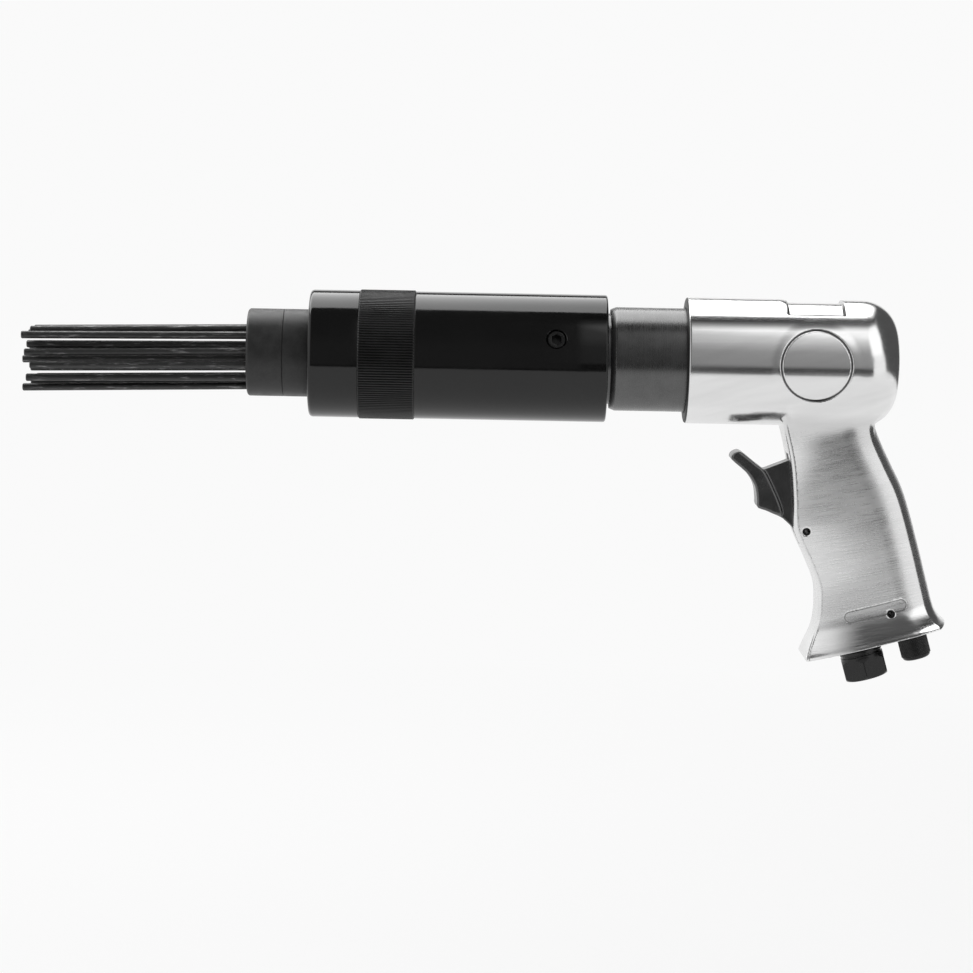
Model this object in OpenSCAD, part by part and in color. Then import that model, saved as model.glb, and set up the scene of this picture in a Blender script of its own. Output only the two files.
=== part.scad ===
// Pistol-grip needle scaler, driven by compressed air, in millimetres.
// X runs along the tool from the needle tips to the rear of the head, Z is up.
// The origin is on the tool axis, where the nose tube seats on the front cap.

/* [Needles] */
// Diameter of one needle
needle_d = 3; // [2:0.1:3.2]
// Length of a new needle, with its head
needle_len = 180; // [150:1:200]
// Diameter of a needle's upset head
needle_head_d = 4.6; // [4:0.1:5]
// Thickness of a needle's upset head
needle_head_len = 1.8; // [1:0.1:3]
// Radius of the inner ring of needles in the holder
ring_inner_r = 4.9; // [4.7:0.05:5.6]
// Radius of the outer ring of needles in the holder
ring_outer_r = 11.6; // [10.8:0.1:12]
// Angle by which the needles hang below the tool axis
needle_droop = 1.15; // [0:0.05:1.3]
// Most that a used needle is shorter than a new one
needle_wear = 4; // [0:0.5:10]

/* [Nose tube] */
// Outside diameter of the nose tube
nose_d = 34.8; // [34.6:0.1:36]
// Length of the nose tube in front of the cap
nose_len = 24.6; // [15:0.2:40]
// Bore of the nose tube
nose_bore_d = 30.6; // [30:0.1:31.4]
// Thread diameter of the nose tube's spigot
nose_thread_d = 34; // [33:0.1:34.4]
// Rounding of the nose tube's front edge
nose_edge = 1.2; // [0.4:0.1:1.6]

/* [Front cap] */
// Outside diameter of the cap and the needle housing
sleeve_d = 50.6; // [49:0.2:54]
// Length of the front cap
cap_len = 42; // [36:0.5:60]
// Thickness of the cap's front wall
cap_wall = 8; // [6:0.5:10]
// Rounding of the cap's front edge
cap_edge = 1.6; // [0.5:0.1:3]
// Length of the knurled band at the cap's rear end
knurl_len = 22.3; // [10:0.1:26]
// Height of the knurl's ridges above the sleeve
knurl_proud = 0.4; // [0.2:0.05:0.8]
// Number of ridges round the knurled band
knurl_ridges = 150; // [60:1:160]

/* [Needle housing] */
// Length of the needle housing behind the cap
housing_len = 76; // [72:0.5:100]
// Bore of the cap and the needle housing
sleeve_bore_d = 40; // [39.8:0.1:41]
// Thread diameter between the cap and the needle housing
sleeve_thread_d = 45; // [44:0.2:47]
// Length of that thread
sleeve_thread_len = 16; // [10:0.5:20]
// Rounding of the housing's rear edge
housing_edge = 0.8; // [0.3:0.1:2]
// Thread diameter of the set screw
set_screw_d = 8; // [6:0.5:10]
// Width across flats of the set screw's socket
set_screw_af = 4; // [2.5:0.5:4.5]
// Distance of the set screw from the housing's rear face
set_screw_back = 20.4; // [10:0.2:30]
// Angle of the set screw above the horizontal
set_screw_rise = 20; // [0:1:60]

/* [Cylinder] */
// Outside diameter of the cylinder's barrel
barrel_d = 41.2; // [39:0.2:43]
// Length of barrel seen between the housing and the head
barrel_seen = 31.2; // [20:0.2:60]
// Gap between the housing and the barrel's shoulder
barrel_gap = 1.3; // [0.5:0.1:4]
// Depth of barrel inside the head
barrel_seat = 22.8; // [18:0.2:26]
// Chamfer of the barrel's front shoulder
barrel_edge = 2; // [0.5:0.1:3]
// Diameter of the cylinder's front and rear spigots
spigot_d = 36; // [34:0.2:38]
// Length of the cylinder's rear spigot
rear_spigot_len = 14; // [10:0.5:18]
// Bore of the cylinder
piston_d = 19; // [17:0.1:22]
// Length of the piston
piston_len = 34; // [25:0.5:40]
// Stroke of the piston
piston_stroke = 40; // [20:0.5:42]
// Diameter of the anvil's shank
shank_d = 14; // [10:0.1:15]

/* [Head] */
// Outside diameter of the head
head_d = 50.2; // [48:0.2:54]
// Length of the head
head_len = 85.5; // [82:0.5:100]
// Rounding of the head's rear edge
head_round = 14; // [8:0.5:17]
// Height of the dome on the head's rear face
head_dome = 1.2; // [0.4:0.1:3]
// Radius of the ring groove on each side of the head
ring_r = 13.8; // [10:0.1:15]
// Height of the round boss that carries the ring groove
boss_rise = 0.3; // [0.1:0.05:0.6]
// Distance of the ring groove's centre from the head's front
ring_x = 50.8; // [45:0.2:56]
// Length of the recess on top of the head
recess_len = 22.3; // [10:0.1:26]
// Depth of the recess on top of the head
recess_depth = 1.35; // [0.4:0.05:2]

/* [Grip] */
// Rake of the grip from square to the tool axis
grip_rake = 16; // [10:0.5:20]
// Distance of the grip's axis from the head's front, on the tool axis
grip_x = 46.1; // [43:0.1:49]
// Depth of the grip's base below the tool axis, along the rake
grip_len = 115; // [110:0.5:125]
// Reach of the grip's base to the front
grip_front = 28.8; // [27:0.1:32]
// Reach of the grip's base to the rear
grip_back = 30.4; // [30:0.1:34]
// Thickness of the grip at its waist
grip_thick = 33; // [31:0.2:38]
// Rounding of the grip's front corners
grip_corner = 1.6; // [1:0.1:4]
// Depth of the grip's bevelled and rounded back
grip_round = 9; // [8:0.2:14]
// Depth to which each bevel cuts into the grip's side
grip_bevel = 2.1; // [1.5:0.1:4]
// Width that each side of the grip loses from its bevel to its front corner
side_taper = 3; // [0:0.1:4]

/* [Trigger] */
// Height of the trigger's finger tip above its pin, along the rake
trigger_rise = 37.2; // [36:0.1:38.4]
// Reach of the trigger's finger tip in front of its pin
trigger_reach = 21.2; // [20:0.1:24]
// Width of the trigger's finger pad
trigger_w = 15; // [12:0.1:20]
// Width of the trigger's web
trigger_web_w = 9.2; // [6:0.1:9.4]
// Diameter of the two spring pins
pin_d = 3; // [2:0.1:3.2]
// Depth of the trigger pin below the tool axis, along the rake
trigger_pin_depth = 64.8; // [63.6:0.1:66]
// Distance of the trigger pin in front of the grip's axis
trigger_pin_front = 15.2; // [14.8:0.1:15.6]
// Height of the throttle stem above the trigger pin
stem_rise = 21.8; // [20:0.1:23]
// Diameter of the throttle stem
stem_d = 4; // [3:0.1:5]
// Diameter of the throttle bush
throttle_bush_d = 12; // [10.5:0.1:13]

/* [Air inlet] */
// Distance of the inlet's axis in front of the grip's axis
inlet_front = 5.3; // [4:0.1:6.5]
// Radius of the threaded hole for a hose fitting
inlet_thread_r = 5.72; // [5:0.02:6]
// Width across flats of the inlet's hexagon
inlet_af = 16.2; // [15:0.1:18]
// Length of the inlet's hexagon
inlet_hex_len = 8.4; // [6:0.1:12]
// Length of the round neck above the hexagon
inlet_neck_len = 5; // [3:0.1:8]
// Diameter of the round neck
inlet_neck_d = 17; // [16.4:0.1:18]

/* [Air regulator] */
// Distance of the regulator's axis behind the grip's axis
regulator_back = 16; // [15:0.1:17]
// Diameter of the regulator's knob
regulator_d = 12.1; // [10:0.1:13.6]
// Length of the regulator's knob
regulator_len = 12.3; // [8:0.1:18]
// Diameter of the regulator's spindle inside the grip
spindle_d = 14; // [13.8:0.1:14.6]
// Length of the regulator's spindle inside the grip
spindle_len = 22; // [20:0.5:26]

/* [Hidden] */
$fn = 72;
needle_names = [for (i = [1:19]) str("needle_", i < 10 ? "0" : "", i)];

// Clearances shared by all pieces
overrun = 1;
running_gap = 0.05;
thread_gap = 0.02;
rest_gap = 0.2;

// Colours
polished = [0.80, 0.80, 0.81];
gloss_black = [0.05, 0.05, 0.055];
dark_grey = [0.20, 0.20, 0.21];
steel = [0.45, 0.45, 0.47];
needle_steel = [0.16, 0.16, 0.17];
bronze = [0.66, 0.50, 0.28];
rubber = [0.07, 0.07, 0.07];
spring_steel = [0.55, 0.55, 0.58];

// Places along the tool axis
sleeve_r = sleeve_d / 2;
sleeve_bore_r = sleeve_bore_d / 2;
housing_rear = cap_len + housing_len;
head_front = housing_rear + barrel_seen;
head_rear = head_front + head_len;
barrel_front = housing_rear + barrel_gap;
barrel_rear = head_front + barrel_seat;
cylinder_rear = barrel_rear + rear_spigot_len;
spigot_r = spigot_d / 2;
barrel_r = barrel_d / 2;
piston_r = piston_d / 2;
shank_r = shank_d / 2;
head_r = head_d / 2;

// Needle pack and anvil, stacked from the cylinder's front face
front_spigot_len = 41.8;
anvil_head_len = 10;
holder_len = 8;
cylinder_front = housing_rear - front_spigot_len;
anvil_rear = cylinder_front - rest_gap;
anvil_front = anvil_rear - anvil_head_len;
holder_rear = anvil_front - needle_head_len - rest_gap;
holder_front = holder_rear - holder_len;
holder_mid = (holder_front + holder_rear) / 2;
pack_r = sleeve_bore_r - running_gap;

// Needles: one in the middle, an inner ring of six and an outer ring of twelve
inner_count = 6;
outer_count = 12;
outer_phase = 15;
needle_lean = 0.3;
needle_hole_gap = 0.25;

// Nose tube, front cap and return spring
nose_r = nose_d / 2;
nose_bore_r = nose_bore_d / 2;
nose_thread_r = nose_thread_d / 2;
nose_pilot = 2;
nose_lip = 0.6;
knurl_root = 0.05;
sleeve_thread_r = sleeve_thread_d / 2;
cap_thread_front = cap_len - sleeve_thread_len;
spring_wire_d = 2.2;
spring_turns = 9;
spring_side_gap = 0.3;
spring_end_gap = 0.6;

// Set screw
set_screw_sunk = 0.6;
set_screw_tip = 0.1;
set_screw_socket = 3.5;

// Piston, bush and cylinder
piston_rear_gap = 2;
strike_gap = 2;
piston_front = cylinder_rear - piston_rear_gap - piston_len;
shank_rear = piston_front - piston_stroke - strike_gap;
piston_edge = 1;
bush_len = 22.8;
o_ring_place = 10;
o_ring_wire_d = 2;
o_ring_squeeze = 0.02;
o_ring_groove = 2.6;

// Reversing valve behind the cylinder
seat_len = 5;
case_len = 14;
plate_r = 8.4;
plate_len = 1.2;
plate_travel = 0.8;
plate_gap = 0.1;
port_r = 3.5;
small_port_r = 1.2;
small_port_ring = 6;
small_port_count = 6;
dowel_r = 1.5;
dowel_ring = 13;
dowel_in_cylinder = 4;
dowel_in_case = 9;
seat_rear = cylinder_rear + seat_len;
chamber_end = seat_rear + case_len;
plate_chamber = plate_len + plate_travel + 2 * plate_gap;

// Head
mouth_edge = 1.2;
boss_margin = 1.6;
ring_groove_w = 0.9;
ring_groove_depth = 0.7;
recess_x = 41.2;
recess_half_angle = 38;

// Grip outline, as shares of its length and of its reach to the front and the rear
grip_top_share = 0.10;
grip_rings = 28;
grip_crowding = 1.4;
front_shares = [
    [0.10, 0.470], [0.20, 0.478], [0.32, 0.502], [0.43, 0.580], [0.54, 0.674],
    [0.585, 0.665], [0.67, 0.607], [0.76, 0.570], [0.82, 0.617], [0.88, 0.700],
    [0.92, 0.800], [0.955, 0.905], [0.985, 0.985], [1, 1]
];
back_shares = [
    [0.10, 0.700], [0.22, 0.725], [0.315, 0.745], [0.42, 0.812], [0.50, 0.870],
    [0.58, 0.892], [0.72, 0.896], [0.86, 0.889], [0.935, 0.892], [0.97, 0.925],
    [0.99, 0.975], [1, 1]
];
thick_shares = [
    [0.10, 1.150], [0.15, 1.110], [0.20, 1.065], [0.27, 1.030], [0.36, 1.015],
    [0.46, 1.000], [0.55, 0.980], [0.65, 0.950], [0.75, 0.915], [0.82, 0.900],
    [0.885, 0.903], [0.92, 0.922], [0.945, 0.968], [0.962, 1.043], [0.978, 1.150],
    [0.99, 1.250], [1, 1.352]
];
back_r_share = 2;
side_crown = 0.8;
taper_middle = 0.4;
back_steps = 12;
corner_steps = 4;
crown_steps = 3;
oval_len = 25;
oval_w = 4.5;
oval_sunk = 0.5;
oval_back = 3.3;
oval_depth = 102.4;

// Trigger outline, as shares of its reach and its rise from the pin
pad_shares = [
    [-0.840, 1.000], [-0.945, 0.990], [-1.000, 0.955], [-0.975, 0.915], [-0.863, 0.823],
    [-0.774, 0.739], [-0.715, 0.637], [-0.703, 0.556], [-0.735, 0.440], [-0.755, 0.400],
    [-0.748, 0.365], [-0.715, 0.347], [-0.604, 0.306], [-0.457, 0.242], [-0.345, 0.225],
    [-0.330, 0.330], [-0.390, 0.560], [-0.458, 0.728], [-0.575, 0.823], [-0.693, 0.917],
    [-0.775, 0.978]
];
web_shares = [
    [-0.600, 0.310], [-0.457, 0.242], [-0.340, 0.175], [-0.264, 0.108], [-0.195, 0.040]
];
web_top_front_share = 0.737;
web_top_rear_share = 0.772;
web_front_share = 0.453;
pad_steps = 3;
trigger_boss_r = 4;
trigger_web_back = 2.9;
trigger_bore_gap = 0.05;
slot_w = 10;
slot_depth = 8.2;
slot_over = 2.1;
slot_under = 6.2;
slot_floor = slot_depth - trigger_pin_front;

// Throttle valve
stem_axis_depth = trigger_pin_depth - stem_rise;
stem_gap = 0.3;
stem_tip = trigger_web_back + stem_gap - trigger_pin_front;
stem_r = stem_d / 2;
throttle_bush_r = throttle_bush_d / 2;
throttle_bush_len = 8;
throttle_guide_len = 4;
throttle_relief = 1.2;
throttle_port_r = 1.5;
throttle_bore_len = 21;
throttle_ring_d = 1.2;
throttle_shoulder = 0.95;
poppet_over = 1.25;
poppet_len = 3;
tail_r = 1.4;
tail_len = 4;
throttle_wire_d = 0.7;
throttle_turns = 6;
throttle_spring_gap = 0.3;
throttle_bush_end = slot_floor + throttle_bush_len;
throttle_bore_end = slot_floor + throttle_bore_len;
throttle_shoulder_r = stem_r + throttle_shoulder;
throttle_ring_r = throttle_shoulder_r + running_gap + throttle_ring_d / 2;
poppet_front = throttle_bush_end + throttle_ring_d + 2 * thread_gap;
poppet_r = throttle_ring_r + throttle_ring_d / 2 + thread_gap;
poppet_rear = poppet_front + poppet_len;

// Inlet, regulator and air passages
inlet_bore_r = 7.9;
inlet_bore_len = 20;
inlet_thread_len = 14;
inlet_washer_len = 1;
inlet_washer_over = 1;
inlet_hole_len = 14;
inlet_step = 1.2;
inlet_edge = 1.4;
inlet_turn = 15;
inlet_spigot_r = inlet_bore_r - thread_gap;
screen_len = 1;
screen_hole_r = 0.8;
screen_hole_ring = 3.2;
screen_hole_count = 6;
regulator_edge = 1;
spindle_r = spindle_d / 2;
spindle_bore_r = spindle_r + running_gap;
spindle_end_gap = 0.4;
regulator_pin_up = 10.1;
regulator_pin_offset = 7.1;
pin_groove_gap = 0.15;
pin_r = pin_d / 2;
pin_bore_r = 0.8;
pin_sunk = 0.8;
spindle_ring_up = 4.6;
spindle_ring_d = 1.6;
spindle_ring_groove = 2.2;
spindle_waist_up = 17;
spindle_waist_w = 5.2;
spindle_waist = 2.5;
cross_passage_r = 2.4;
feed_passage_r = 3.3;
feed_passage_back = 11;
head_passage_r = 2.4;
head_passage_front = 2.6;
cross_len = 2 * grip_thick;

// Points of an arc about a centre
function arc(c, r, from, to, steps) =
    [for (i = [0:steps]) let (a = from + (to - from) * i / steps) c + r * [cos(a), sin(a)]];

// Smooth curve through a table of pairs
function span_at(t, s, i = 0) = i >= len(t) - 2 || s < t[i + 1][0] ? i : span_at(t, s, i + 1);
function slope_at(t, i) =
    let (a = max(i - 1, 0), b = min(i + 1, len(t) - 1)) (t[b][1] - t[a][1]) / (t[b][0] - t[a][0]);
function curve_at(t, s) =
    let (
        i = span_at(t, s),
        h = t[i + 1][0] - t[i][0],
        u = (s - t[i][0]) / h
    )
    t[i][1] * (2 * pow(u, 3) - 3 * pow(u, 2) + 1)
    + slope_at(t, i) * h * (pow(u, 3) - 2 * pow(u, 2) + u)
    + t[i + 1][1] * (3 * pow(u, 2) - 2 * pow(u, 3))
    + slope_at(t, i + 1) * h * (pow(u, 3) - pow(u, 2));

// Smooth closed outline through a list of points
function closed_curve(p, steps) =
    let (n = len(p))
    [for (i = [0:n - 1], k = [0:steps - 1])
        let (
            u = k / steps,
            a = p[(i + n - 1) % n],
            b = p[i],
            c = p[(i + 1) % n],
            d = p[(i + 2) % n]
        )
        (2 * b + (c - a) * u + (2 * a - 5 * b + 4 * c - d) * pow(u, 2)
            + (3 * b - a - 3 * c + d) * pow(u, 3)) / 2];

// Grip sizes at a share of its length
function grip_fore(s) = -grip_front * curve_at(front_shares, s);
function grip_aft(s) = grip_back * curve_at(back_shares, s);
function grip_half(s) = grip_thick / 2 * curve_at(thick_shares, s);

// Half width of the grip's side, from its bevel, at 0, to its front corner, at 1
function grip_side(half, u) =
    half + side_taper * (taper_middle - u) + 4 * side_crown * u * (1 - u);
function grip_side_at(back, s) =
    let (
        fore = grip_fore(s) + grip_corner,
        aft = grip_aft(s) - grip_round
    )
    grip_side(grip_half(s), (aft - back) / (aft - fore));

// Outline of the grip at a share of its length: round back between two bevels, crowned sides
// and round front corners
function grip_outline(s) =
    let (
        fore = grip_fore(s) + grip_corner,
        aft = grip_aft(s) - grip_round,
        half = grip_half(s),
        back_r = half * back_r_share,
        sweep = asin((grip_side(half, 0) - grip_bevel) / back_r),
        corner_y = grip_side(half, 1) - grip_corner,
        side = [for (i = [0:crown_steps])
            let (u = i / (crown_steps + 1))
            [aft + (fore - aft) * u, grip_side(half, u)]]
    )
    concat(
        arc([grip_aft(s) - back_r, 0], back_r, -sweep, sweep, back_steps),
        side,
        arc([fore, corner_y], grip_corner, 90, 180, corner_steps),
        arc([fore, -corner_y], grip_corner, 180, 270, corner_steps),
        [for (i = [crown_steps:-1:0]) [side[i][0], -side[i][1]]]
    );

// Solid skinned over a list of rings of points, each ring counter-clockwise seen from the first
module skin(rings) {
    n = len(rings[0]);
    last = len(rings) - 1;
    polyhedron(
        points = [for (r = rings) each r],
        faces = concat(
            [[for (j = [0:n - 1]) n - 1 - j]],
            [for (i = [0:last - 1], j = [0:n - 1]) [i * n + j, i * n + (j + 1) % n, (i + 1) * n + j]],
            [for (i = [0:last - 1], j = [0:n - 1])
                [i * n + (j + 1) % n, (i + 1) * n + (j + 1) % n, (i + 1) * n + j]],
            [[for (j = [0:n - 1]) last * n + j]]
        )
    );
}

// Round coil spring along Z, with one closed turn at each end
spring_sides = 6;
turn_rings = 16;
function coil_climb(u, turns, closed, length) =
    let (open = (length - 2 * closed) / (turns - 2))
    u < 1 ? closed * u : u > turns - 1 ? length - closed * (turns - u) : closed + open * (u - 1);
module coil_spring(mean_r, wire_d, length, turns, closed_gap) {
    count = turns * turn_rings;
    travel = length - wire_d;
    skin([for (i = [count:-1:0])
        let (
            u = i / turn_rings,
            a = 360 * u,
            z = wire_d / 2 + coil_climb(u, turns, wire_d + closed_gap, travel)
        )
        [for (k = [0:spring_sides - 1])
            let (
                b = 360 * k / spring_sides,
                r = mean_r + wire_d / 2 * cos(b)
            )
            [r * cos(a), r * sin(a), z + wire_d / 2 * sin(b)]]]);
}

// Placing helpers
module along_x(x) {
    translate([x, 0, 0]) rotate([0, 90, 0]) children();
}
module turned(profile) {
    along_x(0) rotate_extrude() polygon(profile);
}
module rod_x(r, from, to) {
    along_x(from) cylinder(r = r, h = to - from);
}
module in_grip() {
    translate([head_front + grip_x, 0, 0]) rotate([0, -grip_rake, 0]) children();
}
module grip_rod_z(back, r, from, to) {
    translate([back, 0, from]) cylinder(r = r, h = to - from);
}
module grip_rod_x(depth, r, from, to) {
    translate([from, 0, -depth]) rotate([0, 90, 0]) cylinder(r = r, h = to - from);
}
module grip_rod_y(back, depth, r, length) {
    translate([back, 0, -depth]) rotate([90, 0, 0]) cylinder(r = r, h = length, center = true);
}
module around(count, ring_r) {
    for (i = [0:count - 1]) rotate([0, 0, 360 * i / count]) translate([ring_r, 0, 0]) children();
}

// Cast handle: turned head, lofted grip, bores and air passages
module head_blank() {
    dome_r = (pow(head_r - head_round, 2) + pow(head_dome, 2)) / (2 * head_dome);
    dome_half = asin((head_r - head_round) / dome_r);
    turned(concat(
        [[0, head_front]],
        [[head_r - mouth_edge, head_front]],
        [[head_r, head_front + mouth_edge]],
        arc([head_r - head_round, head_rear - head_dome - head_round], head_round, 0, 90, 10),
        arc([0, head_rear - dome_r], dome_r, 90 - dome_half, 90, 4)
    ));
}
module grip_blank() {
    in_grip() skin([for (i = [0:grip_rings])
        let (
            u = i / grip_rings,
            s = 1 - (1 - grip_top_share) * pow(1 - u, grip_crowding)
        )
        [for (p = grip_outline(s)) [p[0], p[1], -s * grip_len]]]);
}
module side_bosses() {
    translate([head_front + ring_x, 0, 0]) intersection() {
        rotate([90, 0, 0]) cylinder(r = ring_r + boss_margin, h = cross_len, center = true);
        rotate([0, 90, 0]) cylinder(r = head_r + boss_rise, h = cross_len, center = true);
    }
}
module side_ring_cut() {
    floor_r = head_r + boss_rise - ring_groove_depth;
    translate([head_front + ring_x, 0, 0]) difference() {
        rotate([90, 0, 0]) cylinder(r = ring_r + ring_groove_w / 2, h = cross_len, center = true);
        rotate([90, 0, 0]) cylinder(r = ring_r - ring_groove_w / 2, h = 2 * cross_len, center = true);
        rotate([0, 90, 0]) cylinder(r = floor_r, h = cross_len, center = true);
    }
}
module top_recess_cut() {
    along_x(head_front + recess_x)
        rotate([0, 0, 180 - recess_half_angle])
            rotate_extrude(angle = 2 * recess_half_angle)
                translate([head_r - recess_depth, 0])
                    square([recess_depth + overrun, recess_len]);
}
module trigger_slot_cut() {
    top = trigger_pin_depth - trigger_rise * web_top_rear_share - slot_over;
    height = trigger_pin_depth + slot_under - top;
    translate([-cross_len + slot_floor, -slot_w / 2, -top - height])
        cube([cross_len, slot_w, height]);
}
module oval_cut() {
    half = grip_side_at(oval_back, oval_depth / grip_len);
    reach = oval_len / 2 - oval_w / 2;
    translate([oval_back, oval_sunk - half, -oval_depth]) rotate([90, 0, 0])
        linear_extrude(height = grip_thick) {
            square([2 * reach, oval_w], center = true);
            for (side = [-1, 1]) translate([side * reach, 0]) circle(d = oval_w);
        }
}
module handle() color(polished) difference() {
    union() {
        head_blank();
        side_bosses();
        grip_blank();
    }
    rod_x(barrel_r + running_gap, head_front - overrun, barrel_rear);
    rod_x(spigot_r + running_gap, head_front, chamber_end);
    side_ring_cut();
    top_recess_cut();
    in_grip() {
        trigger_slot_cut();
        oval_cut();
        grip_rod_y(-trigger_pin_front, trigger_pin_depth, pin_r, cross_len);
        grip_rod_y(regulator_back - regulator_pin_offset, grip_len - regulator_pin_up, pin_r, cross_len);
        grip_rod_x(stem_axis_depth, throttle_bush_r, slot_floor - overrun, throttle_bore_end);
        grip_rod_z(-inlet_front, inlet_bore_r, -grip_len - overrun, inlet_bore_len - grip_len);
        grip_rod_z(regulator_back, spindle_bore_r, -grip_len - overrun,
            spindle_len + spindle_end_gap - grip_len);
        grip_rod_x(grip_len - spindle_waist_up, cross_passage_r, -inlet_front, regulator_back);
        grip_rod_z(feed_passage_back, feed_passage_r, spindle_waist_up - grip_len, -stem_axis_depth);
        grip_rod_z(throttle_bush_end - head_passage_front, head_passage_r, -stem_axis_depth,
            -grip_top_share * grip_len);
    }
}

// Cylinder with a front spigot, the barrel, a rear spigot and a straight bore
module air_cylinder() color(dark_grey) {
    groove = head_front + o_ring_place;
    groove_r = barrel_r - o_ring_wire_d;
    difference() {
        turned([
            [piston_r, cylinder_front],
            [spigot_r, cylinder_front],
            [spigot_r, barrel_front],
            [barrel_r - barrel_edge / 2, barrel_front],
            [barrel_r, barrel_front + barrel_edge],
            [barrel_r, groove],
            [groove_r, groove],
            [groove_r, groove + o_ring_groove],
            [barrel_r, groove + o_ring_groove],
            [barrel_r, barrel_rear],
            [spigot_r, barrel_rear],
            [spigot_r, cylinder_rear],
            [piston_r, cylinder_rear]
        ]);
        along_x(cylinder_rear - dowel_in_cylinder) around(2, dowel_ring)
            cylinder(r = dowel_r + thread_gap, h = dowel_in_cylinder + overrun);
    }
}
module cylinder_o_ring() color(rubber) {
    wire_r = o_ring_wire_d / 2 - o_ring_squeeze;
    along_x(head_front + o_ring_place + o_ring_groove / 2)
        rotate_extrude() translate([barrel_r - o_ring_wire_d / 2, 0]) circle(r = wire_r);
}
module anvil_bush() color(bronze) turned([
    [shank_r + running_gap, cylinder_front],
    [piston_r, cylinder_front],
    [piston_r, cylinder_front + bush_len],
    [shank_r + running_gap, cylinder_front + bush_len]
]);
module piston() color(steel) turned([
    [0, piston_front],
    [piston_r - running_gap - piston_edge, piston_front],
    [piston_r - running_gap, piston_front + piston_edge],
    [piston_r - running_gap, piston_front + piston_len - piston_edge],
    [piston_r - running_gap - piston_edge, piston_front + piston_len],
    [0, piston_front + piston_len]
]);

// Reversing valve: drilled seat, free plate, case and two dowels
module valve_seat() color(steel) difference() {
    rod_x(spigot_r, cylinder_rear, seat_rear);
    rod_x(port_r, cylinder_rear - overrun, seat_rear + overrun);
    along_x(cylinder_rear - overrun) around(2, dowel_ring)
        cylinder(r = dowel_r + thread_gap, h = seat_len + 2 * overrun);
}
module valve_plate() color(spring_steel)
    rod_x(plate_r, seat_rear + plate_gap, seat_rear + plate_gap + plate_len);
module valve_case() color(steel) difference() {
    rod_x(spigot_r, seat_rear, chamber_end);
    rod_x(plate_r + running_gap, seat_rear - overrun, seat_rear + plate_chamber);
    along_x(seat_rear) around(small_port_count, small_port_ring)
        cylinder(r = small_port_r, h = case_len + overrun);
    along_x(seat_rear - overrun) around(2, dowel_ring)
        cylinder(r = dowel_r + thread_gap, h = dowel_in_case + overrun);
}
module valve_dowels() color(spring_steel) {
    length = dowel_in_cylinder + seat_len + dowel_in_case - 2 * plate_gap;
    along_x(cylinder_rear - dowel_in_cylinder + plate_gap) around(2, dowel_ring)
        cylinder(r = dowel_r, h = length);
}

// Black sleeves round the needle pack
module set_screw_place() {
    translate([housing_rear - set_screw_back, 0, 0]) rotate([90 - set_screw_rise, 0, 0]) children();
}
module needle_housing() color(gloss_black) difference() {
    turned([
        [sleeve_bore_r, cap_thread_front],
        [sleeve_thread_r, cap_thread_front],
        [sleeve_thread_r, cap_len],
        [sleeve_r, cap_len],
        [sleeve_r, housing_rear - housing_edge],
        [sleeve_r - housing_edge, housing_rear],
        [spigot_r + thread_gap, housing_rear],
        [spigot_r + thread_gap, cylinder_front],
        [sleeve_bore_r, cylinder_front]
    ]);
    set_screw_place() cylinder(d = set_screw_d, h = sleeve_d);
}
module housing_set_screw() color(dark_grey) set_screw_place() difference() {
    top = sleeve_r - set_screw_sunk;
    translate([0, 0, spigot_r + set_screw_tip])
        cylinder(r = set_screw_d / 2 - thread_gap, h = top - spigot_r - set_screw_tip);
    translate([0, 0, top - set_screw_socket])
        cylinder(d = set_screw_af / cos(30), h = set_screw_socket + overrun, $fn = 6);
}
module front_cap() color(gloss_black) {
    turned(concat(
        [[nose_thread_r + thread_gap, 0]],
        arc([sleeve_r - cap_edge, cap_edge], cap_edge, -90, 0, 6),
        [
            [sleeve_r, cap_len],
            [sleeve_thread_r + thread_gap, cap_len],
            [sleeve_thread_r + thread_gap, cap_thread_front],
            [sleeve_bore_r, cap_thread_front],
            [sleeve_bore_r, cap_wall],
            [nose_thread_r + thread_gap, cap_wall]
        ]
    ));
    along_x(cap_len - knurl_len) linear_extrude(height = knurl_len) difference() {
        polygon([for (i = [0:2 * knurl_ridges - 1])
            let (
                a = 180 * i / knurl_ridges,
                r = sleeve_r + (i % 2 == 0 ? knurl_proud : knurl_root)
            )
            r * [cos(a), sin(a)]]);
        circle(r = (sleeve_thread_r + sleeve_r) / 2);
    }
}
module nose_tube() color(dark_grey) turned(concat(
    [[nose_bore_r + nose_lip, -nose_len]],
    arc([nose_r - nose_edge, nose_edge - nose_len], nose_edge, -90, 0, 5),
    [
        [nose_r, 0],
        [nose_thread_r, 0],
        [nose_thread_r, cap_wall + nose_pilot],
        [nose_bore_r, cap_wall + nose_pilot],
        [nose_bore_r, nose_lip - nose_len]
    ]
));

// Spring between the cap's front wall and the needle holder
module return_spring() color(spring_steel)
    along_x(cap_wall)
        coil_spring(
            sleeve_bore_r - spring_side_gap - spring_wire_d / 2, spring_wire_d,
            holder_front - cap_wall, spring_turns, spring_end_gap
        );

// Needle places in the holder: ring radius and angle, counted from the middle outwards
function needle_ring(i) = i == 0 ? 0 : i <= inner_count ? ring_inner_r : ring_outer_r;
function needle_angle(i) =
    i <= inner_count ? 360 * i / inner_count : outer_phase + 360 * (i - inner_count) / outer_count;
function needle_spot(i) = needle_ring(i) * [0, cos(needle_angle(i)), sin(needle_angle(i))];

// Small leans and worn lengths that differ from needle to needle
function needle_nod(i) = needle_droop + needle_lean * sin(137 * i);
function needle_yaw(i) = needle_lean * cos(211 * i);
function worn_share(i) = (1 + sin(97 * i)) / 2;

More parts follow.
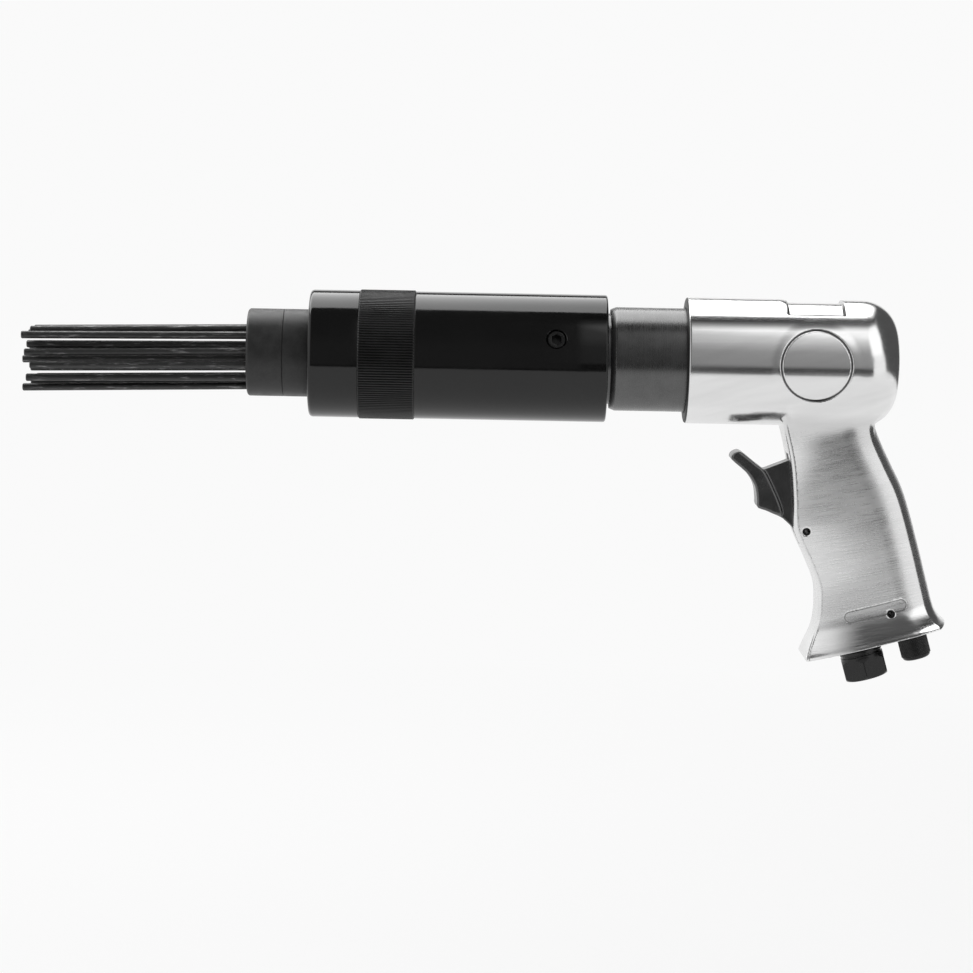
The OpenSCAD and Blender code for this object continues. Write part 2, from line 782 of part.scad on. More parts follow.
module needle_holder() color(steel) difference() {
    rod_x(pack_r, holder_front, holder_rear);
    for (i = [0:len(needle_names) - 1]) translate(needle_spot(i))
        rod_x(needle_d / 2 + needle_hole_gap, holder_front - overrun, holder_rear + overrun);
}
module needle(i) color(needle_steel) {
    seat = (holder_len + rest_gap) / 2;
    translate([holder_mid, 0, 0] + needle_spot(i))
        rotate([0, 0, needle_yaw(i)]) rotate([0, -90 - needle_nod(i), 0]) {
            translate([0, 0, -seat - needle_head_len])
                cylinder(d = needle_head_d, h = needle_head_len);
            translate([0, 0, -seat - needle_head_len / 2])
                cylinder(d = needle_d, h = needle_len - needle_head_len / 2 - needle_wear * worn_share(i));
        }
}
module anvil() color(steel) turned([
    [0, anvil_front],
    [pack_r, anvil_front],
    [pack_r, anvil_rear],
    [shank_r, anvil_rear],
    [shank_r, shank_rear - piston_edge],
    [shank_r - piston_edge, shank_rear],
    [0, shank_rear]
]);

// Trigger: finger pad and web in one piece, bored for its pin
module trigger_pin_place() {
    in_grip() translate([-trigger_pin_front, 0, -trigger_pin_depth]) rotate([90, 0, 0]) children();
}
function pad_point(s) = [s[0] * trigger_reach, s[1] * trigger_rise];
module trigger() color(gloss_black) trigger_pin_place() difference() {
    union() {
        linear_extrude(height = trigger_w, center = true)
            polygon(closed_curve([for (s = pad_shares) pad_point(s)], pad_steps));
        linear_extrude(height = trigger_web_w, center = true) {
            polygon(concat(
                [
                    [0, 0],
                    [trigger_web_back, 0],
                    [trigger_web_back, web_top_rear_share * trigger_rise],
                    [-web_front_share * trigger_reach, web_top_front_share * trigger_rise]
                ],
                [for (s = web_shares) pad_point(s)]
            ));
            circle(r = trigger_boss_r);
        }
    }
    cylinder(r = pin_r + trigger_bore_gap, h = cross_len, center = true);
}

// Hollow spring pins, sunk a little below the grip's sides
module spring_pin(back, depth) {
    length = 2 * (grip_side_at(back, depth / grip_len) - pin_sunk);
    in_grip() difference() {
        grip_rod_y(back, depth, pin_r, length);
        grip_rod_y(back, depth, pin_bore_r, length + overrun);
    }
}
module trigger_pin() color(dark_grey) spring_pin(-trigger_pin_front, trigger_pin_depth);
module regulator_pin() color(dark_grey)
    spring_pin(regulator_back - regulator_pin_offset, grip_len - regulator_pin_up);

// Throttle valve in the grip, pushed by the trigger's web
module throttle_bush() color(bronze) in_grip() difference() {
    port = throttle_bush_end - head_passage_front;
    grip_rod_x(stem_axis_depth, throttle_bush_r, slot_floor, throttle_bush_end);
    grip_rod_x(stem_axis_depth, stem_r + running_gap, slot_floor - overrun, throttle_bush_end);
    grip_rod_x(stem_axis_depth, stem_r + throttle_relief, slot_floor + throttle_guide_len,
        throttle_bush_end + overrun);
    grip_rod_z(port, throttle_port_r, -stem_axis_depth, throttle_bush_d - stem_axis_depth);
}
module throttle_stem() color(steel) in_grip() union() {
    translate([stem_tip + stem_r, 0, -stem_axis_depth]) sphere(r = stem_r);
    grip_rod_x(stem_axis_depth, stem_r, stem_tip + stem_r, poppet_rear);
    grip_rod_x(stem_axis_depth, throttle_shoulder_r, throttle_bush_end + thread_gap, poppet_rear);
    grip_rod_x(stem_axis_depth, poppet_r, poppet_front, poppet_rear);
    grip_rod_x(stem_axis_depth, tail_r, poppet_front, poppet_rear + tail_len);
}
module throttle_o_ring() color(rubber) in_grip()
    translate([throttle_bush_end + thread_gap + throttle_ring_d / 2, 0, -stem_axis_depth])
        rotate([0, 90, 0]) rotate_extrude()
            translate([throttle_ring_r, 0]) circle(d = throttle_ring_d);
module throttle_spring() color(spring_steel) in_grip()
    translate([poppet_rear, 0, -stem_axis_depth]) rotate([0, 90, 0])
        coil_spring(
            poppet_r - throttle_wire_d, throttle_wire_d,
            throttle_bore_end - poppet_rear, throttle_turns, throttle_spring_gap
        );

// Air inlet: hexagon bushing, washer and screen
inlet_neck_top = -grip_len - inlet_washer_len;
inlet_hex_top = inlet_neck_top - inlet_neck_len;
inlet_end = inlet_hex_top - inlet_hex_len;
inlet_hole_top = inlet_end + inlet_hole_len;
module inlet_bushing() color(gloss_black) in_grip() translate([-inlet_front, 0, 0]) {
    corner_r = inlet_af / 2 / cos(30);
    difference() {
        union() {
            grip_rod_z(0, inlet_spigot_r, inlet_neck_top, inlet_thread_len - grip_len);
            grip_rod_z(0, inlet_neck_d / 2, inlet_hex_top, inlet_neck_top);
            intersection() {
                translate([0, 0, inlet_end]) rotate([0, 0, inlet_turn])
                    cylinder(r = corner_r, h = inlet_hex_len, $fn = 6);
                rotate_extrude() polygon(concat(
                    [[0, inlet_hex_top + overrun], [0, inlet_end]],
                    arc([corner_r - inlet_edge, inlet_end + inlet_edge], inlet_edge, -90, 0, 5),
                    [[corner_r, inlet_hex_top - inlet_edge / 2]],
                    [[corner_r - inlet_edge, inlet_hex_top + overrun]]
                ));
            }
        }
        grip_rod_z(0, inlet_thread_r, inlet_end - overrun, inlet_hole_top);
        grip_rod_z(0, inlet_thread_r - inlet_step, inlet_end, inlet_thread_len + overrun - grip_len);
    }
}
module inlet_washer() color(bronze) in_grip() translate([-inlet_front, 0, 0]) difference() {
    grip_rod_z(0, inlet_bore_r + inlet_washer_over, inlet_neck_top, -grip_len);
    grip_rod_z(0, inlet_spigot_r + thread_gap, inlet_neck_top - overrun, overrun - grip_len);
}
module inlet_screen() color(spring_steel) in_grip() translate([-inlet_front, 0, 0]) difference() {
    grip_rod_z(0, inlet_thread_r - inlet_step - thread_gap, inlet_hole_top, inlet_hole_top + screen_len);
    translate([0, 0, inlet_hole_top - overrun]) {
        cylinder(r = screen_hole_r, h = screen_len + 2 * overrun);
        around(screen_hole_count, screen_hole_ring)
            cylinder(r = screen_hole_r, h = screen_len + 2 * overrun);
    }
}

// Air regulator: knob outside the grip, grooved spindle inside it
module air_regulator() color(gloss_black) in_grip() translate([regulator_back, 0, -grip_len]) {
    knob_r = regulator_d / 2;
    pin_groove_r = regulator_pin_offset - pin_r - pin_groove_gap;
    pin_half = pin_r + pin_groove_gap;
    ring_groove_r = spindle_r - spindle_ring_d;
    ring_half = spindle_ring_groove / 2;
    waist_half = spindle_waist_w / 2;
    rotate_extrude() polygon(concat(
        [[0, -regulator_len]],
        arc([knob_r - regulator_edge, regulator_edge - regulator_len], regulator_edge, -90, 0, 5),
        [
            [knob_r, 0],
            [spindle_r, 0],
            [spindle_r, spindle_ring_up - ring_half],
            [ring_groove_r, spindle_ring_up - ring_half],
            [ring_groove_r, spindle_ring_up + ring_half],
            [spindle_r, spindle_ring_up + ring_half],
            [spindle_r, regulator_pin_up - pin_half],
            [pin_groove_r, regulator_pin_up - pin_half],
            [pin_groove_r, regulator_pin_up + pin_half],
            [spindle_r, regulator_pin_up + pin_half],
            [spindle_r, spindle_waist_up - waist_half],
            [spindle_r - spindle_waist, spindle_waist_up - waist_half],
            [spindle_r - spindle_waist, spindle_waist_up + waist_half],
            [spindle_r, spindle_waist_up + waist_half],
            [spindle_r, spindle_len],
            [0, spindle_len]
        ]
    ));
}
module regulator_o_ring() color(rubber) in_grip()
    translate([regulator_back, 0, spindle_ring_up - grip_len]) rotate_extrude()
        translate([spindle_r - spindle_ring_d / 2, 0]) circle(r = spindle_ring_d / 2 - o_ring_squeeze);

handle();
air_cylinder();
cylinder_o_ring();
anvil_bush();
piston();
valve_seat();
valve_plate();
valve_case();
valve_dowels();
needle_housing();
housing_set_screw();
front_cap();
nose_tube();
return_spring();
needle_holder();
anvil();
for (i = [0:len(needle_names) - 1]) needle(i);
trigger();
trigger_pin();
throttle_bush();
throttle_stem();
throttle_o_ring();
throttle_spring();
inlet_bushing();
inlet_washer();
inlet_screen();
air_regulator();
regulator_o_ring();
regulator_pin();
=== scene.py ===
"""Looks of a pistol-grip needle scaler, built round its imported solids.

Shapes are worked out in millimetres in the part's own frame and written to meshes in metres.
X runs from the needle tips to the rear of the head, Z is up, and the camera looks along +Y.
"""
from itertools import product
from math import acos, atan2, cos, pi, radians, sin, sqrt, tan

import bmesh
import bpy
import numpy as np
from mathutils import Matrix, Vector


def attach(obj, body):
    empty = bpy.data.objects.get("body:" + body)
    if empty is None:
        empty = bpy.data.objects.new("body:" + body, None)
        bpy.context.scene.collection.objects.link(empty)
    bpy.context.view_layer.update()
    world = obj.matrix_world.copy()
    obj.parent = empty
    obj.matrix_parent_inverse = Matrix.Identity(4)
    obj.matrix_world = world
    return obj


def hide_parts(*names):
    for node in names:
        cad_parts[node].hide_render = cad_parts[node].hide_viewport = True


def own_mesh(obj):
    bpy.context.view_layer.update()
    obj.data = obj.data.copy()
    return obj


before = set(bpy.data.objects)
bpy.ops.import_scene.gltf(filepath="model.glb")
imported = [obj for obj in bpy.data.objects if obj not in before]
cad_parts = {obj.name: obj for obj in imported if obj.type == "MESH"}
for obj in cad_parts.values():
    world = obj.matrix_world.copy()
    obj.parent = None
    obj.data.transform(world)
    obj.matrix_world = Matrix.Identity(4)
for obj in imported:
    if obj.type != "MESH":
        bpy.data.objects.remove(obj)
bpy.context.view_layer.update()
MM = 0.001
SCENE = bpy.context.scene
PAST = 9.0  # How far a cut runs past the face it opens

# Sizes of the turned pieces
NOSE_LEN, NOSE_R, NOSE_BORE_R, NOSE_THREAD_R, NOSE_TAIL = 24.6, 17.4, 15.3, 17.0, 10.0
SCRIBE_X, SCRIBE_W, SCRIBE_DEPTH = -10.2, 0.35, 0.2
SLEEVE_R, SLEEVE_BORE_R, SLEEVE_THREAD_R = 25.3, 20.0, 22.5
CAP_LEN, CAP_WALL, CAP_THREAD_X = 42.0, 8.0, 26.0
KNURL_X, KNURL_TIP_R, KNURL_ROOT_R, KNURL_RIDGES, KNURL_END = 19.7, 25.69, 25.2, 150, 0.45
HOUSING_REAR, CYLINDER_FRONT = 118.0, 76.2
SCREW_X, SCREW_RISE, SCREW_R, SCREW_AF, SCREW_SUNK = 97.6, radians(20), 4.0, 4.0, 0.6
SCREW_PLAY, SCREW_RIM, SCREW_BREAK, SOCKET_DEPTH, SOCKET_EDGE = 0.02, 0.25, 0.75, 3.2, 0.15
THREAD_PLAY, SPIGOT_PLAY, PIN_PLAY = 0.05, 0.03, 0.05
BARREL_FRONT, BARREL_REAR, BARREL_R = 119.3, 172.0, 20.6
SPIGOT_R, CYLINDER_REAR, PISTON_R = 18.0, 186.0, 9.5
O_RING_X, O_RING_W, O_RING_DEPTH = 159.2, 2.6, 2.0

NEEDLE_R, NEEDLE_BREAK, NEEDLE_SLANT = 1.5, 0.35, 0.25
NEEDLE_HEAD = ((0, 2.0), (0.3, 2.3), (1.5, 2.3), (1.8, 2.0))

# Sizes of the handle's head
HEAD_FRONT, HEAD_REAR, HEAD_R = 149.2, 234.7, 25.1
HEAD_ROUND, HEAD_DOME, MOUTH_EDGE, MOUTH_ROUND = 14.0, 1.2, 0.7, 0.4
MOUTH_BORE_R, CHAMBER_R, CHAMBER_END = 20.9, 18.05, 205.0
RING_X, RING_R, RING_W, RING_DEPTH = 199.5, 13.8, 0.8, 0.45
BOSS_R, BOSS_FADE, BOSS_RISE = 14.0, 4.4, 0.14
RECESS_FROM, RECESS_TO, RECESS_DEPTH, RECESS_HALF_ANGLE = 189.0, 210.9, 1.35, radians(38)
RECESS_LEAD, RECESS_LEAD_DEPTH, RECESS_LEAD_LIFT, LOWER_LINE_SHARE = 4.0, 0.5, 0.2, 0.7

# Sizes of the handle's grip, in the raked frame of the grip
GRIP_X, RAKE = 195.3, radians(16)
GRIP_LEN, GRIP_FRONT, GRIP_BACK, GRIP_HALF = 115.0, 28.6, 30.4, 16.5
GRIP_CORNER, GRIP_ROUND, GRIP_BEVEL, BACK_RISE = 1.8, 9.0, 2.1, 3.9
SIDE_TAPER, TAPER_MIDDLE, SIDE_CROWN = 4.4, 0.28, 1.0
BOW_FROM = 0.5
BOW_DEPTHS = ((0.10, 1.2), (0.28, 0.8), (0.45, 0.35), (0.60, 0.5), (0.80, 0.45), (0.90, 0.9), (1, 3.4))
NECK_BLEND, NECK_SIDE_BLEND, NECK_TOP, NECK_FADE = 2.4, 12.0, -9.0, 9.0
NECK_SIDE, NECK_SIDE_FADE, NECK_FRONT, NECK_FRONT_FADE = 7.0, 8.0, -13.0, 5.0
FRONT_SHARES = (
    (0.10, 0.470), (0.20, 0.478), (0.32, 0.502), (0.43, 0.580), (0.54, 0.674),
    (0.585, 0.665), (0.67, 0.607), (0.76, 0.570), (0.82, 0.617), (0.88, 0.700),
    (0.92, 0.800), (0.955, 0.905), (0.985, 0.985), (1, 1),
)
BACK_SHARES = (
    (0.10, 0.700), (0.22, 0.725), (0.315, 0.745), (0.42, 0.812), (0.50, 0.870),
    (0.58, 0.892), (0.72, 0.896), (0.86, 0.889), (0.935, 0.892), (0.97, 0.925),
    (0.99, 0.975), (1, 1),
)
THICK_SHARES = (
    (0.10, 1.130), (0.15, 1.085), (0.20, 1.045), (0.25, 1.028), (0.30, 1.022), (0.36, 1.015),
    (0.46, 1.000), (0.55, 0.980), (0.65, 0.950), (0.75, 0.916), (0.82, 0.893), (0.865, 0.879),
    (0.89, 0.873), (0.906, 0.875), (0.918, 0.892), (0.931, 0.935), (0.944, 0.998), (0.957, 1.070),
    (0.97, 1.148), (0.982, 1.227), (0.992, 1.310), (1, 1.390),
)
OVAL_BACK, OVAL_DEPTH, OVAL_LEN, OVAL_W, OVAL_SUNK = 3.3, 102.4, 25.0, 4.5, 0.5
SLOT_FLOOR, SLOT_HALF, SLOT_TOP, SLOT_BOTTOM = -7.0, 5.0, 33.98, 71.0
PIN_R, PIN_BORE_R, PIN_SUNK = 1.5, 0.8, 0.8
TRIGGER_PIN, REGULATOR_PIN = (-15.2, -64.8), (8.9, -104.9)
STEM_DEPTH, THROTTLE_BORE_R, THROTTLE_BORE_END = 43.0, 6.0, 14.0

# Roundings of the handle's edges
BEVEL_EDGE, BACK_EDGE, BASE_EDGE, GROOVE_EDGE, RECESS_EDGE = 2.5, 0.6, 1.3, 0.35, 0.25
SLOT_EDGE, PIN_EDGE, OVAL_EDGE, BORE_EDGE = 0.5, 0.6, 0.3, 0.4

# Sizes of the trigger, as shares of its reach and rise from the pin
TRIGGER_REACH, TRIGGER_RISE, PAD_HALF, WEB_HALF = 21.2, 37.2, 7.5, 4.6
PAD_SHARES = (
    (-0.840, 1.000), (-0.945, 0.990), (-1.000, 0.955), (-0.975, 0.915), (-0.863, 0.823),
    (-0.774, 0.739), (-0.715, 0.637), (-0.703, 0.556), (-0.735, 0.440), (-0.755, 0.400),
    (-0.748, 0.365), (-0.715, 0.347), (-0.604, 0.306), (-0.457, 0.242), (-0.345, 0.225),
    (-0.330, 0.330), (-0.390, 0.560), (-0.458, 0.728), (-0.575, 0.823), (-0.693, 0.917),
    (-0.775, 0.978),
)
WEB_SHARES = (
    (-0.600, 0.310), (-0.457, 0.242), (-0.340, 0.175), (-0.264, 0.108), (-0.195, 0.040),
)
WEB_TOP_FRONT, WEB_TOP_REAR, WEB_FRONT, WEB_BACK = 0.737, 0.772, 0.453, 2.9
BOSS_PIN_R, PAD_EDGE, WEB_EDGE, PAD_BLEND, TRIGGER_GRID = 4.0, 1.1, 0.5, 1.0, 0.45

# Sizes of the fittings under the grip
INLET_FRONT, INLET_AF, INLET_TURN = 5.3, 16.9, radians(25)
INLET_BORE_R, INLET_BORE_LEN, INLET_SPIGOT_R = 7.9, 20.0, 7.88
INLET_WASHER, INLET_NECK, INLET_NECK_R, INLET_HEX = 1.0, 5.0, 8.5, 8.34
INLET_THREAD_R, INLET_THREAD_DEPTH, INLET_HOLE, INLET_SPIGOT = 5.72, 0.45, 14.0, 14.0
INLET_PITCH, INLET_WAY_R, WASHER_R, WASHER_EDGE = 1.34, 4.52, 8.9, 0.25
HEX_EDGE, HEX_LOW_BEVEL, HEX_LOW_EDGE, HEX_TOP_OUT, HEX_TOP_EDGE = 0.5, 1.3, 0.3, 0.1, 0.15
HEX_TOP_SLOPE, HEX_TOP_SCALE, DIAGONAL, HOLE_LEAD, HOLE_LEAD_LEN = 0.85, 0.76, 0.7, 0.5, 3.0
NECK_GROOVES, NECK_FILLET = (1.3, 3.4), 0.4
NECK_GROOVE_W, NECK_GROOVE_DEPTH, NECK_GROOVE_EDGE = 0.8, 0.7, 0.25
REGULATOR_BACK, REGULATOR_R, REGULATOR_LEN, SPINDLE_R, SPINDLE_LEN = 16.0, 6.05, 12.3, 7.0, 22.0
SPINDLE_PLAY, SPINDLE_END_PLAY, POINT_R = 0.1, 0.4, 0.02
SPINDLE_HEIGHTS = (SPINDLE_LEN, 19.6, 14.4, 11.75, 8.45, 5.7, 3.5, 0)
SPINDLE_RADII = (SPINDLE_R, 4.5, SPINDLE_R, 5.45, SPINDLE_R, 5.4, SPINDLE_R)
DIAMONDS, DIAMOND_STEPS, DIAMOND_DEPTH = 34, 6, 0.45
KNOB_TOP, KNOB_LOW, KNOB_EDGE, KNOB_EDGE_STRETCH, KNOB_STEP, KNOB_NECK = -0.6, 1.6, 1.4, 1.1, 0.35, 0.5
KNOB_DIMPLE = ((0.06, 3.0), (0.5, 2.4), (0.5, POINT_R))

# Sizes of the springs
RETURN_LEN, RETURN_R, RETURN_WIRE, RETURN_TURNS, RETURN_GAP = 48.0, 18.6, 2.2, 9, 0.6
THROTTLE_LEN, THROTTLE_R, THROTTLE_WIRE, THROTTLE_TURNS, THROTTLE_GAP = 8.76, 3.52, 0.7, 6, 0.3


# Frame of the grip

def to_grip(x, z):
    """Place along the grip's own front-to-back and upward axes."""
    dx = x - GRIP_X
    return dx * cos(RAKE) + z * sin(RAKE), z * cos(RAKE) - dx * sin(RAKE)


def from_grip(points):
    """Points of the grip's frame in the part's frame."""
    u, y, w = np.asarray(points, float).T
    return np.stack([
        GRIP_X + u * cos(RAKE) - w * sin(RAKE),
        y,
        u * sin(RAKE) + w * cos(RAKE),
    ], 1)


def in_grip(points):
    """Points of the part's frame in the grip's frame."""
    u, w = to_grip(points[..., 0], points[..., 2])
    return np.stack([u, points[..., 1], w], -1)


def curve(table, s):
    """Smooth curve through a table of pairs."""
    keys, values = np.array(table, float).T
    slopes = np.gradient(values) / np.gradient(keys)
    i = np.clip(np.searchsorted(keys, s, side="right") - 1, 0, len(keys) - 2)
    h = keys[i + 1] - keys[i]
    u = (s - keys[i]) / h
    return (values[i] * (2 * u**3 - 3 * u**2 + 1) + slopes[i] * h * (u**3 - 2 * u**2 + u)
            + values[i + 1] * (3 * u**2 - 2 * u**3) + slopes[i + 1] * h * (u**3 - u**2))


# Distance fields, negative inside

def cut(solid, tool, blend=0.0):
    return meet(solid, -tool, blend)


def meet(a, b, blend=0.0):
    return -join(-a, -b, blend)


def join(a, b, blend=0.0):
    if np.max(blend) == 0:
        return np.minimum(a, b)
    h = np.clip(0.5 + 0.5 * (b - a) / blend, 0, 1)
    return b + (a - b) * h - blend * h * (1 - h)


def soft_join(a, b, blend):
    """Join with a fillet that eases in and out."""
    near = np.maximum(blend - np.abs(a - b), 0) / blend
    return np.minimum(a, b) - near**3 * blend / 6


def span(along, start, end):
    return np.abs(along - (start + end) / 2) - (end - start) / 2


def rod(across, along, radius, start, end):
    """Straight rod, from its distance to the axis and its place along it."""
    return np.maximum(across - radius, span(along, start, end))


def hexagon_flats(a, b, turn=0.0):
    """Distances from the three planes half way between a hexagon's opposite flats."""
    return [np.abs(a * cos(t) + b * sin(t)) for t in turn + np.arange(3) * pi / 3]


def round_corner(a, b, radius):
    """Two faces that meet in a round edge, from their distances plus the radius."""
    return np.hypot(np.maximum(a, 0), np.maximum(b, 0)) + np.minimum(np.maximum(a, b), 0) - radius


def outline_distance(points, u, w):
    """Distance to a closed outline, negative inside it."""
    nearest = np.full(u.shape, np.inf)
    inside = np.zeros(u.shape, bool)
    for (ax, ay), (bx, by) in zip(points, np.roll(points, -1, 0)):
        ex, ey = bx - ax, by - ay
        t = np.clip(((u - ax) * ex + (w - ay) * ey) / (ex * ex + ey * ey), 0, 1)
        nearest = np.minimum(nearest, (u - ax - t * ex)**2 + (w - ay - t * ey)**2)
        if ay != by:
            crosses = (ay > w) != (by > w)
            inside ^= crosses & (u < ax + (w - ay) * ex / ey)
    return np.where(inside, -1, 1) * np.sqrt(nearest)


def rounded_slab(flat, across, half, radius):
    """Outline given depth, with all its edges rounded."""
    return round_corner(flat + radius, np.abs(across) - half + radius, radius)


def smooth_step(t):
    t = np.clip(t, 0, 1)
    return t * t * (3 - 2 * t)


# Meshes

def slopes_of(distance, points, h=0.01):
    """Direction in which a distance field grows."""
    out = np.empty_like(points)
    for axis in range(3):
        step = np.zeros(3)
        step[axis] = h
        out[:, axis] = distance(points + step) - distance(points - step)
    return out / np.maximum(np.linalg.norm(out, axis=1, keepdims=True), 1e-12)


def skin(distance, lines):
    """Quads on the zero level of a distance field: one vertex in each crossed cell, kept on sharp edges."""
    lines = [np.asarray(a, float) for a in lines]
    grid = np.stack(np.meshgrid(*lines, indexing="ij"), -1)
    field = distance(grid)
    solid = field < 0
    shape = np.array(solid.shape) - 1
    filled = np.zeros(shape, int)
    for i, j, k in product((0, 1), repeat=3):
        filled += solid[i:i + shape[0], j:j + shape[1], k:k + shape[2]]
    mixed = (filled > 0) & (filled < 8)
    cells = np.argwhere(mixed)
    index = np.full(shape, -1)
    index[mixed] = np.arange(len(cells))
    count = len(cells)
    ids, spots, normals, quads = [], [], [], []
    for axis in range(3):
        first = solid.take(range(shape[axis]), axis)
        second = solid.take(range(1, shape[axis] + 1), axis)
        edges = np.argwhere(first != second)
        ahead = edges.copy()
        ahead[:, axis] += 1
        fa, fb = field[tuple(edges.T)], field[tuple(ahead.T)]
        pa, pb = grid[tuple(edges.T)], grid[tuple(ahead.T)]
        low, high = np.zeros(len(edges)), np.ones(len(edges))
        for _ in range(6):
            share = low + (high - low) * np.clip(fa / (fa - fb), 0.1, 0.9)
            value = distance(pa + (pb - pa) * share[:, None])
            same = (value < 0) == (fa < 0)
            low, high = np.where(same, share, low), np.where(same, high, share)
            fa, fb = np.where(same, value, fa), np.where(same, fb, value)
        spot = pa + (pb - pa) * (low + (high - low) * fa / (fa - fb))[:, None]
        normal = slopes_of(distance, spot)
        u, v = (axis + 1) % 3, (axis + 2) % 3
        around = []
        for du, dv in ((-1, -1), (0, -1), (0, 0), (-1, 0)):
            cell = edges.copy()
            cell[:, u] += du
            cell[:, v] += dv
            around.append(index[tuple(cell.T)])
            ids.append(around[-1])
            spots.append(spot)
            normals.append(normal)
        around = np.stack(around, 1)
        starts_solid = first[tuple(edges.T)]
        around[~starts_solid] = around[~starts_solid][:, ::-1]
        quads.append(around)
    ids, spots, normals = np.concatenate(ids), np.concatenate(spots), np.concatenate(normals)

    def gather(values):
        return np.bincount(ids, values, count)

    crossings = gather(np.ones(len(ids)))
    middle = np.stack([gather(spots[:, a]) / crossings for a in range(3)], 1)
    reach = np.einsum("ij,ij->i", normals, spots - middle[ids])
    pull = np.stack([gather(normals[:, a] * reach) for a in range(3)], 1)
    steer = np.zeros((count, 3, 3))
    for a, b in product(range(3), repeat=2):
        steer[:, a, b] = gather(normals[:, a] * normals[:, b])
    to_middle = 0.02
    steer += np.eye(3) * (to_middle * crossings)[:, None, None]
    points = middle + np.linalg.solve(steer, pull[:, :, None])[:, :, 0]
    for axis in range(3):
        at = cells[:, axis]
        points[:, axis] = np.clip(points[:, axis], lines[axis][at], lines[axis][at + 1])
    return points, np.concatenate(quads)


def lines_between(*stops):
    """Grid lines from stop to stop, each stop a place and the spacing up to the next one."""
    out = []
    for (start, step), (end, _) in zip(stops, stops[1:]):
        out.extend(np.linspace(start, end, max(1, round((end - start) / step)), endpoint=False))
    return np.array(out + [stops[-1][0]])


def add_object(name, data):
    obj = bpy.data.objects.new(name, data)
    SCENE.collection.objects.link(obj)
    return obj


def piece(name, points, faces, material, body="tool_body", replaces=(), slot=None, crease=38, field=None):
    """Mesh object from points in millimetres, shaded smooth between creases or by its distance field."""
    mesh = bpy.data.meshes.new(name)
    mesh.from_pydata((np.asarray(points, float) * MM).tolist(), [], [list(f) for f in faces])
    work = bmesh.new()
    work.from_mesh(mesh)
    bmesh.ops.remove_doubles(work, verts=work.verts, dist=1e-7)
    bmesh.ops.recalc_face_normals(work, faces=work.faces)
    work.to_mesh(mesh)
    work.free()
    mesh.materials.append(material)
    mesh.shade_smooth()
    if field:
        spots = np.array([v.co for v in mesh.vertices]) / MM
        mesh.normals_split_custom_set_from_vertices(slopes_of(field, spots).tolist())
    else:
        mesh.set_sharp_from_angle(angle=radians(crease))
    obj = add_object(name, mesh)
    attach(obj, body)
    if replaces:
        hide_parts(*replaces)
    return obj


def quads_between(rings, count, closed=True, first=0):
    """Quads from each ring of points to the next, and from the last ring to the first where closed."""
    faces = []
    for i, j in product(range(rings if closed else rings - 1), range(count)):
        here, on, k = first + i * count, first + (i + 1) % rings * count, (j + 1) % count
        faces.append((here + j, here + k, on + k, on + j))
    return faces


def rounded_profile(corners, steps=6):
    """Closed outline from corners of place, radius and rounding."""
    out = []
    spots = [np.array(c[:2], float) for c in corners]
    for i, (corner, here) in enumerate(zip(corners, spots)):
        rounding = corner[2] if len(corner) > 2 else 0
        if rounding == 0:
            out.append(here)
            continue
        back = spots[i - 1] - here
        on = spots[(i + 1) % len(spots)] - here
        back /= np.linalg.norm(back)
        on /= np.linalg.norm(on)
        half = acos(np.clip(back @ on, -1, 1)) / 2
        reach = rounding / tan(half)
        middle = here + (back + on) / np.linalg.norm(back + on) * rounding / sin(half)
        start, end = here + back * reach - middle, here + on * reach - middle
        turn = atan2(start[0] * end[1] - start[1] * end[0], start @ end)
        for k in range(steps + 1):
            a = turn * k / steps
            c, s = cos(a), sin(a)
            out.append(middle + np.array([c * start[0] - s * start[1], s * start[0] + c * start[1]]))
    return out


def revolve(rings, segments):
    """Points and quads of a closed outline of (x, r) turned about X."""
    angles = np.arange(segments) * 2 * pi / segments
    points = [[(x, r * cos(a), r * sin(a)) for a in angles] for x, r in rings]
    return np.array(points).reshape(-1, 3), quads_between(len(rings), segments)


def turned(name, corners, material, segments=192, **where):
    points, faces = revolve(rounded_profile(corners), segments)
    return piece(name, points, faces, material, **where)


# Materials

def grey(value):
    return (value, value, value, 1.0)


